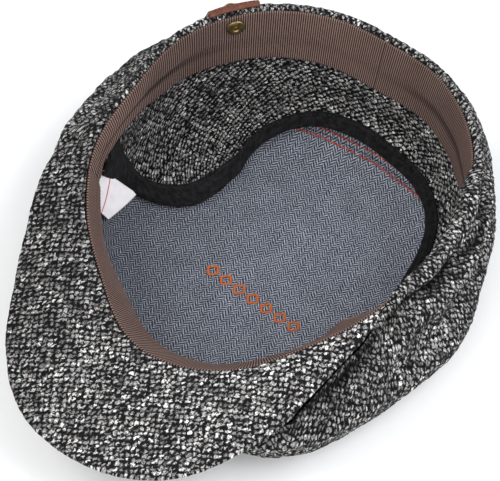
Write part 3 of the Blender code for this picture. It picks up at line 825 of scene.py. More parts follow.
def tweed(name, turn, slant, pitch=NUB, plenty=0.0, deep=1.0, light=None):
    """Nubby wool tweed: slanted pale nubs in rows on a black ground, some dark, some missing."""
    p = Paint(name, 0.95, sheen=0.02, sheen_roughness=0.6, specular=0.06)
    u, v = p.cloth()
    where = p.vector(u, v)
    loose = p.split(p.noise(where, 0.13, output=1))
    row, col = turn_by(turn, u, v, pitch)
    yarn = p.vector(row + loose[0] * 1.1, col + loose[1] * 0.9)
    swirl = p.vectors("SUBTRACT", p.noise(yarn, 1.5, 1.0, output=1), (0.5, 0.5, 0.5))
    yarn = p.vectors("ADD", yarn, p.vectors("MULTIPLY", swirl, (0.95, 0.95, 0.0)))
    nubs = p.add(
        "TexVoronoi", {"Vector": yarn, "Scale": 1.0, "Randomness": 0.42}, "Position",
        voronoi_dimensions="2D",
    )
    off = p.split(p.vectors("SUBTRACT", yarn, nubs))
    tint = p.split(Value(p, nubs.socket.node.outputs["Color"]))
    along, across = turn_by(slant, off[0], off[1])
    far = p.math("SQRT", (along / 0.45) ** 2.0 + (across / 0.29) ** 2.0)
    far = far / (0.78 + tint[0] * 0.50) + (p.noise(yarn, 3.0, 2.0, 0.7) - 0.5) * 3.0
    nub = p.between(far, 1.25, 0.50, "SMOOTHSTEP")
    level = tint[1] + (p.noise(where, 0.075, 3.0, 0.6) - 0.5) * 1.1 + plenty
    tone = p.steps(level, (
        (0.02, (0.110, 0.107, 0.107)), (0.22, (0.270, 0.262, 0.258)), (0.55, (0.420, 0.412, 0.402)),
        (0.84, (0.58, 0.57, 0.55)), (1.0, (0.86, 0.85, 0.825)),
    ))
    warm = p.math("GREATER_THAN", tint[2], 0.90)
    tone = p.mix(warm * 0.35, tone, (0.27, 0.20, 0.17))
    strand = p.math("SINE", across * 21.0 + tint[0] * 6.0)
    shine = p.between(p.noise(yarn, 3.6, 2.0, 0.7), 0.36, 0.64) * 1.25 + strand * 0.14
    tone = p.scaled(tone, 0.25 + shine)
    ground = p.scaled(p.steps(p.noise(yarn, 3.1, 2.0, 0.7), (
        (0.40, (0.004, 0.004, 0.005)), (0.62, (0.011, 0.011, 0.012)), (0.90, (0.100, 0.097, 0.095)),
    )), deep)
    cloud = 0.64 + p.noise(where, 0.05) * 0.72
    # Painted shade in the crown wall's fold valleys and painted highlight on its ridges; 0 on other
    # pieces.
    lit = (1.0 - p.point("painted_fold_shading") * 0.72) ** 2.2
    colour = p.scaled(p.mix(nub, ground, tone), cloud * lit)
    # Painted light and shade: the piece made lighter towards one side and darker towards the other.
    if light:
        base, by_x, by_y, low, high = light
        x, y, _ = p.split(p.place())
        share = base + (x * by_x + y * by_y)
        colour = p.scaled(colour, p.math("MINIMUM", p.math("MAXIMUM", share, low), high))
    rise = nub * (0.75 + tint[1] * 0.35) + shine * 0.30
    return p.finish(colour, p.bump(rise, 0.75, 0.8))


def grosgrain():
    """Brown ribbed ribbon; the ribs are in its shape, the threads cross them."""
    p = Paint("brown_grosgrain", 0.8, sheen=0.03, specular=0.2)
    u, v = p.cloth()
    top = (p.math("COSINE", u * (2 * np.pi / RIB)) + 1.0) * 0.5
    cross = p.math("SINE", v * (2 * np.pi / 0.5))
    worn = p.noise(p.vector(u, v), 0.05, 3.0, 0.6)
    fine = p.noise(p.vector(u, v * 0.5), 1.1, 2.0, 0.7)
    # Painted shade in the grooves between the ribs, lighter on their tops.
    shade = (0.10 + p.between(top, 0.25, 0.75, "SMOOTHSTEP") * 1.12) * (0.70 + fine * 0.60)
    shade = shade * (0.70 + worn * 0.5)
    # Painted shade: a dark line along the crease, as dark as the fold stands out.
    off_crease = p.math("ABSOLUTE", v - (BAND_CREASE * BAND_WIDTH + 1.7))
    dark = (1.0 - p.between(off_crease, 0.4, 3.0)) * p.point("crease")
    # Painted shade over some stretches of the band, as its table gives.
    shade = shade * (1.0 - dark * 0.80) * (1.0 - p.point("dim"))
    tone = p.mix(worn, (0.225, 0.132, 0.115), (0.200, 0.138, 0.112))
    return p.finish(p.scaled(tone, shade), p.bump(top + cross * 0.10, 0.20, 0.6))


def bias_tape():
    """Black bias tape with a fine diagonal weave."""
    p = Paint("black_bias_tape", 0.8, sheen=0.02, specular=0.12)
    u, v = p.cloth()
    turns = 2 * np.pi / 0.7
    weave = p.math("SINE", (u + v) * turns) * p.math("SINE", (u - v) * turns)
    fade = p.noise(p.vector(u, v), 0.30, 4.0, 0.7)
    shade = 0.50 + (weave * 0.35 + p.between(fade, 0.42, 0.72) * 2.6)
    colour = p.scaled((0.0072, 0.0072, 0.0080), shade)
    return p.finish(colour, p.bump(weave + fade * 5.0, 0.14, 0.8))


def herringbone():
    """Blue-grey herringbone lining, woven in narrow columns of slanted lines."""
    p = Paint("blue_herringbone", 0.8, sheen=0.03, sheen_roughness=0.4, specular=0.12)
    u, v = p.cloth()
    along, across = turn_by(LINING_TURN, u, v)
    across = across + p.noise(p.vector(u, v), 0.03) * 6.0
    plan, grain = p.vector(across, along), p.vector(along, across)
    columns = across / CHEVRON
    odd = p.math("FLOORED_MODULO", p.math("FLOOR", columns), 2.0)
    lines = along + p.math("PINGPONG", columns, 1.0) * (CHEVRON * 1.15) + odd * (TWILL * 0.5)
    lines = lines + p.noise(plan, 0.35, 2.0, 0.6) * 0.9 + p.noise(plan, 1.5, 1.0) * 0.45
    wave = p.math("SINE", lines * (2 * np.pi / TWILL))
    level = ((wave + 1.0) * 0.5) ** 1.5 * 0.80 + 0.14
    level = level + (p.noise(grain, 0.95, 3.0, 0.8) - 0.5) * 1.7
    colour = p.steps(level, (
        (0.05, (0.020, 0.024, 0.038)), (0.36, (0.056, 0.064, 0.094)),
        (0.62, (0.140, 0.155, 0.192)), (1.0, (0.42, 0.435, 0.465)),
    ))
    colour = p.scaled(colour, 0.62 + p.noise(grain, 0.07, 3.0, 0.65) * 0.66)
    # Painted shade: the lining darker towards the front and the left, lighter towards the back
    # right.
    x, y, _ = p.split(p.place())
    colour = p.scaled(colour, 0.91 + (x * 0.0034 + y * 0.0016))
    return p.finish(colour, p.bump(wave, 0.10, 0.5))


def leather():
    """Brown leather with a fine grain."""
    p = Paint("brown_leather", 0.6, specular=0.25)
    where = p.place()
    cells = p.add("TexVoronoi", {"Vector": where, "Scale": 1.3}, feature="DISTANCE_TO_EDGE")
    cloud = p.noise(where, 0.16, 4.0, 0.6)
    speck = p.noise(where, 1.3, 3.0, 0.6)
    colour = p.steps(cloud, (
        (0.25, (0.085, 0.030, 0.018)), (0.55, (0.165, 0.062, 0.036)), (0.8, (0.25, 0.105, 0.062)),
    ))
    rise = p.math("MINIMUM", cells * 3.0, 1.0) + speck * 0.6
    colour = p.scaled(colour, 0.7 + speck * 0.5)
    return p.finish(colour, p.bump(rise, 0.12, 0.7), 0.42 + cloud * 0.2)


def thread_paint(name, colour, roughness=0.6):
    """Twisted sewing thread."""
    p = Paint(name, roughness, sheen=0.03, specular=0.2)
    twist = p.noise(p.place(), 2.6, 2.0, 0.7)
    return p.finish(p.scaled(colour, 0.55 + twist * 0.9), p.bump(twist, 0.08, 0.6))


def satin():
    """White satin with one thin red line across it."""
    p = Paint("white_satin", 0.5, specular=0.3)
    u, v = p.cloth()
    colour = p.scaled((0.84, 0.81, 0.83), 0.88 + p.noise(p.vector(u, v), 0.25, 3.0) * 0.25)
    line = p.math("LESS_THAN", p.math("ABSOLUTE", v - LABEL_LINE), 0.36)
    weave = p.math("SINE", v * (2 * np.pi / 0.45))
    return p.finish(p.mix(line, colour, (0.55, 0.03, 0.03)), p.bump(weave, 0.05, 0.4))


def brass():
    """Dull brass with brown in its hollows."""
    p = Paint("antique_brass", 0.38, metallic=1.0)
    where = p.place()
    fine = p.noise(where, 2.2, 3.0, 0.6)
    colour = p.steps(p.noise(where, 0.35, 4.0, 0.6), (
        (0.3, (0.12, 0.085, 0.035)), (0.55, (0.33, 0.24, 0.10)), (0.8, (0.52, 0.40, 0.18)),
    ))
    return p.finish(colour, p.bump(fine, 0.05, 0.5), 0.26 + fine * 0.3)


def floor_paint():
    """Pale studio floor."""
    p = Paint("pale_floor", 0.6, specular=0.3)
    cloud = p.noise(p.place(), 0.004)
    return p.finish(p.scaled((0.93, 0.93, 0.93), 0.985 + cloud * 0.03))


# Tweed outside: crown wall, crown top and peak

def cloth_turn(angles, radius_at):
    """Distance round the cap at each angle, for the cloth map."""
    a = np.radians(angles)
    radius = np.array([radius_at(x) for x in angles])
    return run_of(np.stack([radius * np.sin(a), -radius * np.cos(a)], 1))


def down_run(points):
    """Distance down each row of a grid of points."""
    return np.array([run_of(row) for row in points])


# Folds pressed into the crown wall, or standing out of it where the depth is negative.
# Each has a depth and a width in millimetres, a darkness of the shade painted along it (below
# zero, a painted highlight on a ridge), and points of an angle and a distance down the wall.
FOLDS = (
    (1.2, 5.4, 1.00, (
        (41.0, 3.0), (48.0, 5.0), (54.0, 7.5), (59.0, 7.5), (64.0, 5.0), (69.0, 4.0),
    )),
    (2.0, 2.4, 1.00, (
        (67.0, 2.0), (72.0, 6.5), (77.0, 10.5), (85.0, 15.0), (93.0, 18.0), (101.0, 17.5),
        (110.0, 13.0),
    )),
    (-1.6, 3.6, -0.32, (
        (58.0, 15.0), (66.0, 17.0), (72.0, 20.5), (80.0, 22.5), (90.0, 24.0), (99.0, 24.0),
        (107.0, 26.0),
    )),
    (1.8, 2.8, 0.85, (
        (62.0, 23.0), (66.0, 28.0), (72.0, 29.0), (79.0, 29.0), (84.0, 30.5), (92.0, 33.0),
        (98.0, 34.0),
    )),
    (1.8, 3.0, 0.85, ((103.0, 20.0), (109.0, 23.5), (115.0, 26.0), (121.0, 22.0), (127.0, 15.0))),
    (-1.2, 3.6, -0.30, ((103.0, 14.0), (113.0, 12.0), (122.0, 9.0))),
    (1.2, 1.9, 0.95, ((260.0, 6.5), (270.0, 5.5), (282.0, 5.5), (293.0, 6.0))),
    (1.6, 5.0, 0.50, ((214.0, 22.0), (246.0, 20.0))),
)


# How far apart two points of the crown wall are that lie one degree apart
MM_PER_DEGREE = 1.9


def fold_press(turn, down):
    """How far the folds press the wall in at each point of it, and the shade painted there (below
    zero, a painted highlight).
    """
    total, painted_fold_shading = np.zeros_like(down), np.zeros_like(down)
    for depth, width, dark, line in FOLDS:
        near = np.clip(turn, line[0][0], line[-1][0])
        share = (near - line[0][0]) / (line[-1][0] - line[0][0])
        taper = 0.5 + 0.5 * np.sqrt(np.sin(np.pi * share))
        beside = down - column((("angle", "down"), *line), "down", near)
        off = beside ** 2 + (MM_PER_DEGREE * (turn - near)) ** 2
        press = np.exp(-off / width ** 2)
        total += depth * taper * press
        # Painted shade along the fold's valley; a negative darkness paints a highlight on a ridge.
        shade = dark * taper * (0.6 * press + 0.4 * np.exp(-off / (0.45 * width) ** 2))
        painted_fold_shading = np.maximum(painted_fold_shading, shade) if dark > 0 else painted_fold_shading + shade
    return total, painted_fold_shading


# Points down the crown wall's face, and the point of its section's line where the top begins
WALL_POINTS = 104
TOP_BEGINS = 54


def crown_section(angle):
    """Face and back of the crown's side, face and back of its top, and how long the side's is."""
    roll, body, lip = crown_wall(angle)
    line = smooth_line(body, 60)
    seam, (foot, _) = line[TOP_BEGINS], line[-1]
    rolled = smooth_line([lip] + roll + [line[0]], 24)
    whole = np.concatenate([rolled[:-1], line[:TOP_BEGINS + 1]])
    long = run_of(whole)[-1]
    side = resample(whole, np.linspace(0, long, WALL_POINTS))
    inner = offset(line, -TWEED)[[12, 22, 33, 44, TOP_BEGINS]]
    side_back = np.vstack([(lip[0] + 1.3, lip[1] - 1.3), inner])
    ahead = unit(line[-1] - seam)
    edge = seam + ahead * 1.5 * GAP
    under = np.array([edge, 0.5 * (edge + (foot, 0.0)) - (0.0, 0.1), (foot, 0.0)])
    flat = np.stack([foot * np.linspace(1, 0.001, 42)[1:], np.zeros(41)], 1)
    top_back = np.array([
        edge - np.array([-ahead[1], ahead[0]]) * TWEED,
        (foot - 1.1 * TWEED, TWEED), (0.6 * foot, TWEED), (0.001 * foot, TWEED),
    ])
    return side, side_back, np.concatenate([under, flat]), top_back, long


def build_crown(paint, top_paint):
    """Crown wall with its rolled edge, and the crown's top under it."""
    turns = np.linspace(-180.0, 180.0, 841)[:-1]
    sides, side_backs, tops, top_backs, longs = zip(*map(crown_section, turns))
    run = cloth_turn(np.append(turns, 180.0), lambda a: 0.94 * CROWN_RADIUS * section("bulge", a))
    u = run[:-1, None]
    share = np.linspace(0, 1, WALL_POINTS)[None, :]
    down = share * np.array(longs)[:, None]
    points, backs = place_all(turns, sides), place_all(turns, side_backs)
    n = toward(points, normals(points, True), np.array((0.0, -15.0, 35.0)))
    hold = np.clip(np.minimum(share / 0.05, (1 - share) / 0.08), 0, 1)
    soft = 0.9 * lattice_noise(u, down, 26.0, 3) + 0.45 * lattice_noise(u, down, 11.0, 4)
    press, painted_fold_shading = fold_press(np.mod(turns, 360.0)[:, None], down)
    shift = (soft * np.clip((share - 0.1) / 0.2, 0, 1) - press) * hold
    points = points + n * shift[..., None]
    cloth = grid_of(u, down_run(points))
    knobs = 0.36 * noise_on(cloth, 1.9, 5) + 0.20 * noise_on(cloth, 3.6, 6)
    points = points + n * (knobs * (0.4 + 0.6 * hold))[..., None]
    side = shell(
        ("crown_side_tweed", "crown_side", "tweed"),
        points, backs, cloth, grid_of(u, down_run(backs)), paint, ring=True, wrap=run[-1],
    )
    # The painted shade and highlight of the folds, for the tweed's colour.
    point_value(side, "painted_fold_shading", np.pad(painted_fold_shading, ((0, 0), (0, backs.shape[1]))))

    some = slice(None, None, 3)
    points, backs = place_all(turns[some], tops[some]), place_all(turns[some], top_backs[some])
    plan = points[..., :2]
    n = toward(points, normals(points, True), np.array((0.0, 0.0, 60.0)))
    knobs = np.minimum(0.12 * noise_on(plan, 1.9, 8), 0.0)
    knobs[:, -3:] = 0
    points = points + n * knobs[..., None]
    shell(
        ("crown_top_tweed", "crown_top", "tweed"),
        points, backs, plan, backs[..., :2], top_paint, ring=True,
    )


def build_peak(paint):
    """Tweed-covered peak with a soft turned edge."""
    turns = np.arange(*PEAK_ENDS, 0.42)
    shares = np.concatenate([np.linspace(0, 0.9, 74), np.linspace(0.9, 1.0, 14)[1:]])
    rounds = np.linspace(0, np.pi, 9)[1:-1, None]
    face, back = [], []
    for angle in turns:
        line = np.stack(peak_line(angle, shares, 6.5 * ease((-66.0 - angle) / 2.0)), 1)
        ahead = unit(line[-1] - line[-2])
        down = np.array([ahead[1], -ahead[0]]) * PEAK_THICK
        nose = ahead * PEAK_NOSE * np.sin(rounds) + down / 2 * (1 - np.cos(rounds))
        face.append(np.vstack([line, line[-1] + nose]))
        under = line[[0, 17, 34, 51, 68, 86]] + down
        under[:, 0] = np.maximum(under[:, 0], line[0, 0] + 0.2)
        back.append(under)
    points, backs = place_all(turns, face), place_all(turns, back)
    plan = points[..., :2]
    n = normals(points)
    n = n * np.sign(n[..., 2].mean())
    lift = 0.20 * noise_on(plan, 1.7, 15) + 0.30 * noise_on(plan, 14.0, 16)
    lift[:, :2] *= 0.3
    points = points + n * lift[..., None]
    shell(("peak_tweed", "peak", "tweed"), points, backs, plan, backs[..., :2], paint)


# Inside: sweatband, lining, flap and binding

def build_sweatband(paint):
    """Ribbed ribbon with every rib in its shape, and a crease along its middle."""
    coarse = np.linspace(-180.0, 180.0, 1441)
    run = cloth_turn(coarse, lambda a: float(rim(a)[0]) - BAND_INSET)
    wide = 1.0 + 0.25 * ease((np.abs(coarse) - 150.0) / -60.0)
    steps = np.diff(run) / (0.5 * (wide[1:] + wide[:-1]))
    woven = np.concatenate([[0], np.cumsum(steps)])
    ribs = int(round(woven[-1] / RIB))
    count, around = ribs * 5, ribs * RIB
    s = np.arange(count) * around / count
    turns = np.interp(s * woven[-1] / around, woven, coarse)
    s = s[:, None]
    t = np.array([[
        0, 0.03, 0.09, 0.17, 0.26, 0.35, 0.42, 0.48, 0.52,
        0.55, 0.58, 0.61, 0.65, 0.72, 0.80, 0.90, 0.97, 1.0,
    ]])
    shown, fold, nod, dim = (
        column(BAND_ROWS, name, np.mod(turns, 360.0))[:, None] for name in BAND_ROWS[0][1:]
    )
    whole, out = band_faces(turns, [0.0, 1.0])
    inner = whole[:, :1] + (whole[:, 1:] - whole[:, :1]) * (t * shown)[..., None]
    inner[..., 0] -= nod * t
    cloth = grid_of(s, t * BAND_WIDTH)
    rib = 0.12 * np.cos(2 * np.pi * s / RIB)
    middle = BAND_CREASE + 0.02 * lattice_noise(s, 0 * s, 40.0, 23)
    high = 0.9 * ease(t / 0.3) * ease((middle - t) / 0.05)
    groove = -0.7 * ease((t - middle + 0.09) / 0.08) * ease((middle + 0.22 - t) / 0.2)
    soft = 0.30 * noise_on(cloth, 13.0, 22)
    kink = np.zeros_like(soft)
    for angle, deep, width, slant in ((-60.0, 0.8, 1.3, 4.0), (-179.0, 0.6, 0.6, 0.0)):
        at_kink = np.interp(angle, coarse, woven) * around / woven[-1]
        kink += deep * np.exp(-((s - at_kink + slant * (t - 0.5)) / width) ** 2)
    lift = rib + fold * (high + groove) + soft * np.sin(np.pi * t) - np.minimum(kink, 0.7)
    few = [0, 5, 11, 17]
    band = shell(
        ("sweatband_ribbon", "sweatband", "ribbon"),
        place(turns[:, None], inner - out * np.maximum(lift, -0.78)[..., None]),
        place(turns[:, None], inner[:, few] + out * BAND_THICK),
        cloth, cloth[:, few], paint, ring=True, wrap=around,
    )
    # How far the fold stands out, for the painted shade along the crease.
    point_value(band, "crease", np.repeat(fold, t.size + len(few), axis=1))
    # How much painted shade darkens the band at each point.
    point_value(band, "dim", np.repeat(dim, t.size + len(few), axis=1))


def seam_along(angle):
    """Distance along the lining from the rim to its seam."""
    return CROWN_RADIUS * column(LINING_SEAM, "along", angle, 360.0)


def lining_wrinkles(x, y, angle, along):
    """Soft rise of the lining: slack wrinkles that run out from the seam at the back."""
    inward = along - seam_along(angle)
    back = np.exp(-((np.mod(angle, 360.0) - 176.0) / 34.0) ** 2)
    slack = np.sin((x * 0.8 + 0.45 * y) / 3.1 + 1.2 * lattice_noise(x, y, 18.0, 31))
    near = np.exp(-(np.maximum(inward - 3, 0) / 16.0) ** 2) * np.clip(np.abs(inward) / 2.0, 0.2, 1)
    wide = 0.9 * lattice_noise(x, y, 30.0, 32) + 0.35 * lattice_noise(x, y, 12.0, 33)
    return 0.55 * back * near * slack + 0.45 * wide


def held(lift):
    """A rise of the lining, kept inside its bounds."""
    return np.clip(lift, -0.5, 0.6)


def build_lining(paint):
    """Herringbone lining: side and top, meeting at the stitched seam."""
    turns = np.linspace(-180.0, 180.0, 481)[:-1, None]
    seam = seam_along(turns)
    long = np.interp(np.mod(turns, 360.0), LINING_TURNS, LINING_LONG)
    for node, low, high, fine in (
        ("lining_side", 0 * seam, seam, 50), ("lining_top", seam + 0.5 * GAP, 0.999 * long, 70),
    ):
        share = np.linspace(0, 1, fine)
        along = low + (high - low) * share
        flat = lining_at(turns, along)
        lift = lining_wrinkles(flat[..., 0], flat[..., 1], turns, along)
        if node == "lining_top":
            lift = lift * (1 - np.exp(-share * 20)) - 0.22 * np.exp(-(along - low) / 1.2)
            lift = lift * np.clip((1 - share) * 4, 0, 1)
        else:
            lift = lift * np.clip((1 - share) * 12, 0, 1) * np.clip(share * 3, 0, 1)
            lift = lift - 0.22 * np.exp(-(high - along) / 1.2)
        points = lining_at(turns, along, held(lift))
        backs = lining_at(turns, low + (high - low) * np.linspace(0, 1, 16), -LINING_THICK)
        names = (node + "_cloth", node, "lining")
        shell(names, points, backs, points[..., :2], backs[..., :2], paint, ring=True)


def flap_rows(count):
    """The columns of the flap's table, at rows spread evenly over it."""
    names, *rows = FLAP_ROWS
    table = (("at",) + names, *((at, *row) for at, row in enumerate(rows)))
    want = np.linspace(0, len(rows) - 1, count)
    return [column(table, name, want)[:, None] for name in names]


def flap_lift(left):
    """How high the flap's back lies over the lining: higher near its edge, over the binding."""
    near = np.clip((BINDING_WIDTH + FLAP_RAMP - left) / FLAP_RAMP, 0.0, 1.0)
    return FLAP_CLEAR + (BINDING_THICK + TAPE_GAP) * near


def flap_grid(count, left_at):
    """Angles, distances along the lining and distance left to the free edge, row by row."""
    tops, edges, depths, _ = flap_rows(count)
    length = FLAP_DEPTH * depths
    left = left_at(length)
    share = 1 - left / length
    return tops + (edges - tops) * share * share, length * share, left


def build_flap(paint):
    """The ear and neck flap, its cloth a little slack."""
    count = 430
    tape = flap_rows(count)[3]

    def grid(points):
        shares = np.linspace(0, 1, points)
        return flap_grid(count, lambda length: (length - FLAP_TOP) * (1 - shares))

    angle, along, left = grid(66)
    flat = lining_at(angle, along, flap_lift(left) + FLAP_THICK)
    around = run_of(flat[:, 40])[:, None]
    cloth = grid_of(around, along)
    soft = 0.8 * lattice_noise(flat[..., 0] + flat[..., 1], flat[..., 2] * 1.6, 17.0, 41)
    soft += 0.35 * noise_on(cloth, 8.0, 42)
    free = np.clip((left - 6.0 * tape) / 8.0, 0, 1) * np.clip(along / 12.0, 0, 1)
    knobs = 0.16 * noise_on(cloth, 1.6, 43) * np.clip((left - 3.0 * tape) / 5.0, 0, 1)
    lift = np.clip(soft, -0.7, 0.9) * free + knobs
    points = lining_at(angle, along, flap_lift(left) + FLAP_THICK + lift)
    angle, along, left = grid(8)
    backs = lining_at(angle, along, flap_lift(left))
    names = ("ear_flap_tweed", "ear_flap", "tweed")
    shell(names, points, backs, cloth, grid_of(around, along), paint)


def build_binding(paint, thread):
    """Black tape folded round the flap's free edge, gathered a little at its stitches."""
    count = 620
    steps = np.array([8.0, 7.8, 7.2, 6.6, 6.0, 5.0, 3.8, 2.6, 1.6, 0.9, 0.35, 0.0])
    angle, along, left = flap_grid(count, lambda length: steps * flap_rows(count)[3])
    near = lining_at(angle, along, flap_lift(left) + FLAP_THICK)
    up = unit(near - lining_at(angle, along, flap_lift(left)))
    angle, along, left = flap_grid(count, lambda length: steps + 0 * length)
    far = lining_at(angle, along, flap_lift(left))
    ahead = unit(near[:, -1] - near[:, -3])
    around = run_of(near[:, -1])[:, None]
    thick = TAPE_GAP + BINDING_THICK
    pad = 0.60 * np.sin(np.pi * np.clip(left / 6.6, 0, 1)) * (left < 6.7)
    pad = pad - 0.40 * np.exp(-((left - 6.75) / 0.45) ** 2)
    spots = grid_of(around, left)
    pucker = 0.12 * noise_on(spots, 2.6, 51) + 0.18 * noise_on(spots, 9.0, 52)
    top = near + up * (thick + pad + pucker)[..., None]
    low = far - up * thick
    middle = (near[:, -1] + far[:, -1]) / 2
    half = np.linalg.norm(near[:, -1] - far[:, -1], axis=-1, keepdims=True) / 2 + thick
    rounds = [
        middle + ahead * (0.3 + (0.5 + BINDING_THICK) * np.cos(a)) + up[:, -1] * half * np.sin(a)
        for a in np.radians([65.0, 42.0, 18.0, -6.0, -28.0, -50.0])
    ]
    outside = np.concatenate([top, np.stack(rounds, 1), low[:, ::-3]], axis=1)
    near_in, far_in = near + up * TAPE_GAP, far - up * TAPE_GAP
    ends = np.stack([near_in[:, -1], far_in[:, -1]], 1) + ahead[:, None] * TAPE_GAP
    inside = np.concatenate([near_in[:, [0, 4, 8]], ends, far_in[:, [8, 4, 0]]], axis=1)
    step = np.linalg.norm(np.diff(outside, axis=1), axis=2).mean(0)
    cloth = grid_of(around, np.concatenate([[0], np.cumsum(step)]))
    pick = np.linspace(0, outside.shape[1] - 1, inside.shape[1]).astype(int)
    names = ("flap_binding_tape", "flap_binding", "binding")
    shell(names, outside, inside, cloth, cloth[:, pick], paint)
    row = top[:, 3] * 0.5 + top[:, 4] * 0.5
    stitches(
        "binding_stitches", row, up[:, 3], thread,
        margins=(3.0, 3.0), pitch=2.4, long=1.7, radius=0.17, arch=0.16,
    )


def build_seam_stitches(red):
    """Two rows of red topstitching, one on each side of the lining's seam."""
    turns = np.linspace(-180.0, 180.0, 241)
    dense = np.linspace(-180.0, 180.0, 400)
    long = 2.15
    for name, off in (("seam_stitches_top", 2.1), ("seam_stitches_side", -2.3)):
        along = seam_along(turns) + off
        flat = lining_at(turns, along)
        wrinkles = lining_wrinkles(flat[:, 0], flat[:, 1], turns, along)
        lift = held(wrinkles).mean() + 0.25
        along = np.interp(dense, turns, along)
        line = lining_at(dense, along, lift)
        up = lining_at(dense, along, lift + 1.0) - line
        stitches(
            name, line, up, red,
            margins=(0.0, long), pitch=2.7, long=long, radius=0.60, arch=0.30,
        )


def build_motif(paint):
    """A plain row of open lozenges, satin stitched on the lining."""
    start, end = np.array((-17.5, -24.0)), np.array((40.0, -27.5))
    count, half_long, half_wide, half_stitch = 7, 3.0, 3.4, 0.62
    ahead = unit(end - start) * half_long
    side = np.array((-ahead[1], ahead[0])) * half_wide / half_long
    starts, ends = [], []
    for n in range(count):
        middle = start + (end - start) * (n + 0.5) / count
        corners = [middle + ahead, middle + side, middle - ahead, middle - side]
        for one, two in zip(corners, corners[1:] + corners[:1]):
            along = unit(two - one) * half_stitch
            across = np.array((-along[1], along[0]))
            for share in (np.arange(10) + 0.5) / 10:
                spot = one + (two - one) * share
                for found, (x, y) in ((starts, spot - across), (ends, spot + across)):
                    angle, along_it = lining_along(x, y)
                    lift = held(lining_wrinkles(x, y, angle, along_it))
                    found.append(lining_at(angle, along_it, lift + 0.1))
    up = np.tile((0.0, 0.0, 1.0), (len(starts), 1))
    starts, ends = np.array(starts), np.array(ends)
    threads("satin_motif", starts, ends, up, paint, radius=0.26, arch=0.32)


# Label, leather and rivet

def build_label(paint):
    """The white label behind the sweatband, a little bowed."""
    side = np.linspace(0, 1, 26)[:, None, None]
    share = np.linspace(0, 1, 34)[None, :, None]
    roots = [lining_at(angle, LABEL_START, LABEL_LIFT) for angle in LABEL_ROOT]
    tips = [
        lining_at(angle - LABEL_SHIFT, reach, LABEL_LIFT + LABEL_CURL)
        for angle, reach in zip(LABEL_TIP, LABEL_REACH)
    ]
    near = roots[0] * (1 - side) + roots[1] * side
    far = tips[0] * (1 - side) + tips[1] * side
    up = unit(np.cross(tips[0] - roots[0], tips[1] - roots[0]))
    up = up * np.sign(up[2])
    bow = 0.7 * np.sin(np.pi * side) * share - 0.5 * np.sin(np.pi * share)
    back = near + (far - near) * share + up * bow
    long = np.linalg.norm(far - near, axis=-1)
    cloth = grid_of(LABEL_WIDTH * side[..., 0], long * share[..., 0])
    few = np.linspace(0, 33, 10).astype(int)
    names = ("care_label_satin", "care_label", "label")
    shell(names, back + up * LABEL_THICK, back[:, few], cloth, cloth[:, few], paint)


def build_patch(paint, thread):
    """Grained leather folded over the rim, stitched round its edge."""
    half = np.degrees(PATCH_WIDTH / 2 / float(rim(RIVET_ANGLE)[0]))
    turns = np.linspace(RIVET_ANGLE - half, RIVET_ANGLE + half, 61)
    near, far = [], []
    for angle in turns:
        roll, body, _ = crown_wall(angle)
        line = np.concatenate([roll[1:], smooth_line(body, 60)])
        line = smooth_line(line[[0, 1, 2, 3, 8, 14, 20, 26, 32, 38, 44, 50, 56, 62]], 160)
        line = resample(line, np.linspace(0.8, PATCH_DROP, 84))
        near.append(offset(line, PATCH_GAP)[::6])
        far.append(offset(line, PATCH_GAP + PATCH_THICK))
    near, far = place_all(turns, near), place_all(turns, far)
    share = np.linspace(-1, 1, 61)[:, None]
    across = share * PATCH_WIDTH / 2
    down = np.linspace(0, 1, 84)[None, :]
    cloth = grid_of(across, down * PATCH_DROP)
    to_side, to_end = (1 - np.abs(share)) * PATCH_WIDTH / 2, np.minimum(down, 1 - down) * PATCH_DROP
    edge = np.minimum(to_side, to_end)
    n = toward(far, normals(far), near.mean((0, 1)))
    bevel = -0.55 * (1 - np.clip(edge / 0.9, 0, 1)) ** 2
    groove = -0.22 * np.exp(-((edge - 1.9) / 0.5) ** 2)
    notch = -0.7 * np.exp(-(across / 0.45) ** 2) * np.clip(1 - down / 0.2, 0, 1)
    swell = 0.18 * noise_on(cloth, 5.0, 61)
    far = far + n * (bevel + groove + notch + swell)[..., None]
    pick = np.linspace(0, 83, near.shape[1]).astype(int)
    names = ("leather_patch_hide", "leather_patch", "leather")
    shell(names, far, near, cloth, cloth[:, pick], paint)
    # Stitches along both sides and across both ends
    left, right, top, bottom = 5, 55, 4, 79
    path = [(left, j) for j in range(bottom, top, -1)] + [(i, top) for i in range(left, right)]
    path += [(right, j) for j in range(top, bottom)] + [(i, bottom) for i in range(right, left, -1)]
    i, j = np.transpose(path)
    stitches(
        "leather_stitches", far[i, j], n[i, j], thread,
        margins=(0.4, 1.6), pitch=2.2, long=1.55, radius=0.24, arch=0.2,
    )


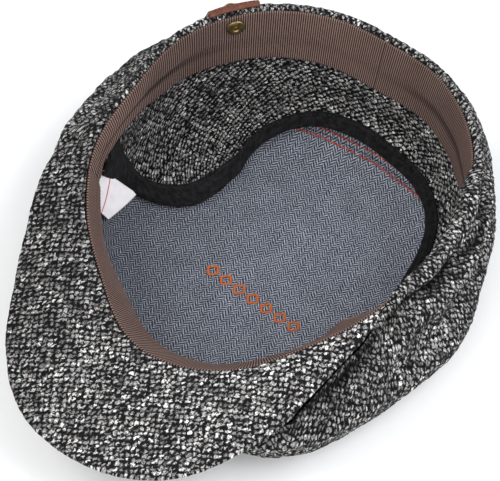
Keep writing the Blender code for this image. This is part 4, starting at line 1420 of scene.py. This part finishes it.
def build_rivet(paint):
    """Eyelet on the sweatband with its cap on the leather."""
    inside, height = band_faces(np.array([RIVET_ANGLE]), (RIVET_DROP / BAND_WIDTH,))[0][0, 0]
    line = smooth_line(crown_wall(RIVET_ANGLE)[1], 60)
    head, shank, hole = RIVET_HEAD / 2, RIVET_SHANK / 2, 1.45
    wall = float(np.interp(head - height, -line[:, 1], line[:, 0]))
    ring = inside - GAP - 1.7
    cap = wall + 3.6 * GAP + 1.2 * PATCH_THICK
    eyelet = (
        (1.9, 0.0), (1.9, 0.9 * hole), (1.2, hole), (0.35, 1.02 * hole), (0.08, 1.25 * hole),
        (0.0, 0.62 * head), (0.1, 0.82 * head), (0.4, 0.95 * head), (0.75, head),
        (1.0, 0.96 * head), (1.05, shank + 0.5), (2.1, shank + 0.3), (2.4, shank),
    )
    outer = (
        (0.0, shank), (0.0, 0.95 * head), (0.4, head), (0.8, 0.93 * head), (1.2, 0.7 * head),
        (1.45, 0.35 * head), (1.5, 0.0),
    )
    profile = [(ring + out, r) for out, r in eyelet] + [(cap + out, r) for out, r in outer]
    a = np.radians(RIVET_ANGLE)
    way = (np.sin(a), -np.cos(a), 0.0)
    piece = turned("rivet_brass", profile, np.array((0.0, 0.0, height)), way, paint)
    dress("rivet")


# Stage: floor, lights and camera

def build_stage():
    """Pale floor, even sky and three soft lights."""
    bpy.ops.mesh.primitive_plane_add(size=6.0, location=(0.0, 0.0, 0.0))
    floor = bpy.context.object
    floor.name = "floor"
    floor.data.materials.append(floor_paint())
    world = bpy.data.worlds.new("studio")
    world.use_nodes = True
    sky = world.node_tree.nodes["Background"]
    sky.inputs["Color"].default_value = (0.95, 0.97, 1.0, 1.0)
    sky.inputs["Strength"].default_value = 0.62
    bpy.context.scene.world = world
    aim = Vector((0.0, 0.0, 0.03))
    for name, where, size, power, colour in (
        ("key", (-0.85, -0.65, 1.15), 0.8, 9.5, (1.0, 0.99, 0.97)),
        ("fill", (0.95, 0.5, 1.2), 1.2, 17.0, (0.97, 0.98, 1.0)),
        ("front", (0.5, -1.3, 0.95), 1.2, 13.0, (1.0, 1.0, 1.0)),
    ):
        lamp = bpy.data.lights.new(name, "AREA")
        lamp.size, lamp.energy, lamp.color = size, power, colour
        made = bpy.data.objects.new(name, lamp)
        made.location = where
        made.rotation_mode = "QUATERNION"
        made.rotation_quaternion = (aim - Vector(where)).to_track_quat("-Z", "Y")
        bpy.context.scene.collection.objects.link(made)


def build_camera():
    """Camera at the photograph's angle, aimed at a point of the cap, with a small roll."""
    azimuth, elevation, roll = np.radians((32.657, 52.039, 5.085))
    aim = Vector((0.0045, 0.00185, 0.040))
    distance = 1.0714
    data = bpy.data.cameras.new("camera")
    data.sensor_width = 36.0
    data.lens = 168.13
    flat = np.cos(elevation)
    back = Vector((np.sin(azimuth) * flat, -np.cos(azimuth) * flat, np.sin(elevation)))
    right = Vector((np.cos(azimuth), np.sin(azimuth), 0.0))
    up = back.cross(right)
    turned_right = right * np.cos(roll) + up * np.sin(roll)
    turned_up = up * np.cos(roll) - right * np.sin(roll)
    made = bpy.data.objects.new("camera", data)
    axes = Matrix((turned_right, turned_up, back)).transposed()
    made.matrix_world = Matrix.Translation(aim + back * distance) @ axes.to_4x4()
    bpy.context.scene.collection.objects.link(made)
    bpy.context.scene.camera = made


def main():
    bpy.context.scene.view_settings.view_transform = "Standard"
    build_camera()
    build_stage()
    wall_tweed = tweed("tweed_wall", WALL_WEAVE_TURN, 42.0)
    peak_tweed = tweed("tweed_peak", PEAK_WEAVE_TURN, 38.0, plenty=0.05, light=PEAK_LIGHT)
    top_tweed = tweed("tweed_top", PEAK_WEAVE_TURN, 38.0)
    flap_tweed = tweed("tweed_flap", FLAP_WEAVE_TURN, 62.0, pitch=2.1, deep=0.4, light=FLAP_LIGHT)
    build_crown(wall_tweed, top_tweed)
    build_peak(peak_tweed)
    build_sweatband(grosgrain())
    build_lining(herringbone())
    build_flap(flap_tweed)
    build_binding(bias_tape(), thread_paint("black_thread", (0.02, 0.02, 0.022)))
    build_seam_stitches(thread_paint("red_thread", (0.36, 0.060, 0.042)))
    build_motif(thread_paint("orange_thread", (0.50, 0.125, 0.03), 0.5))
    build_label(satin())
    build_patch(leather(), thread_paint("wine_thread", (0.16, 0.02, 0.015)))
    build_rivet(brass())


main()
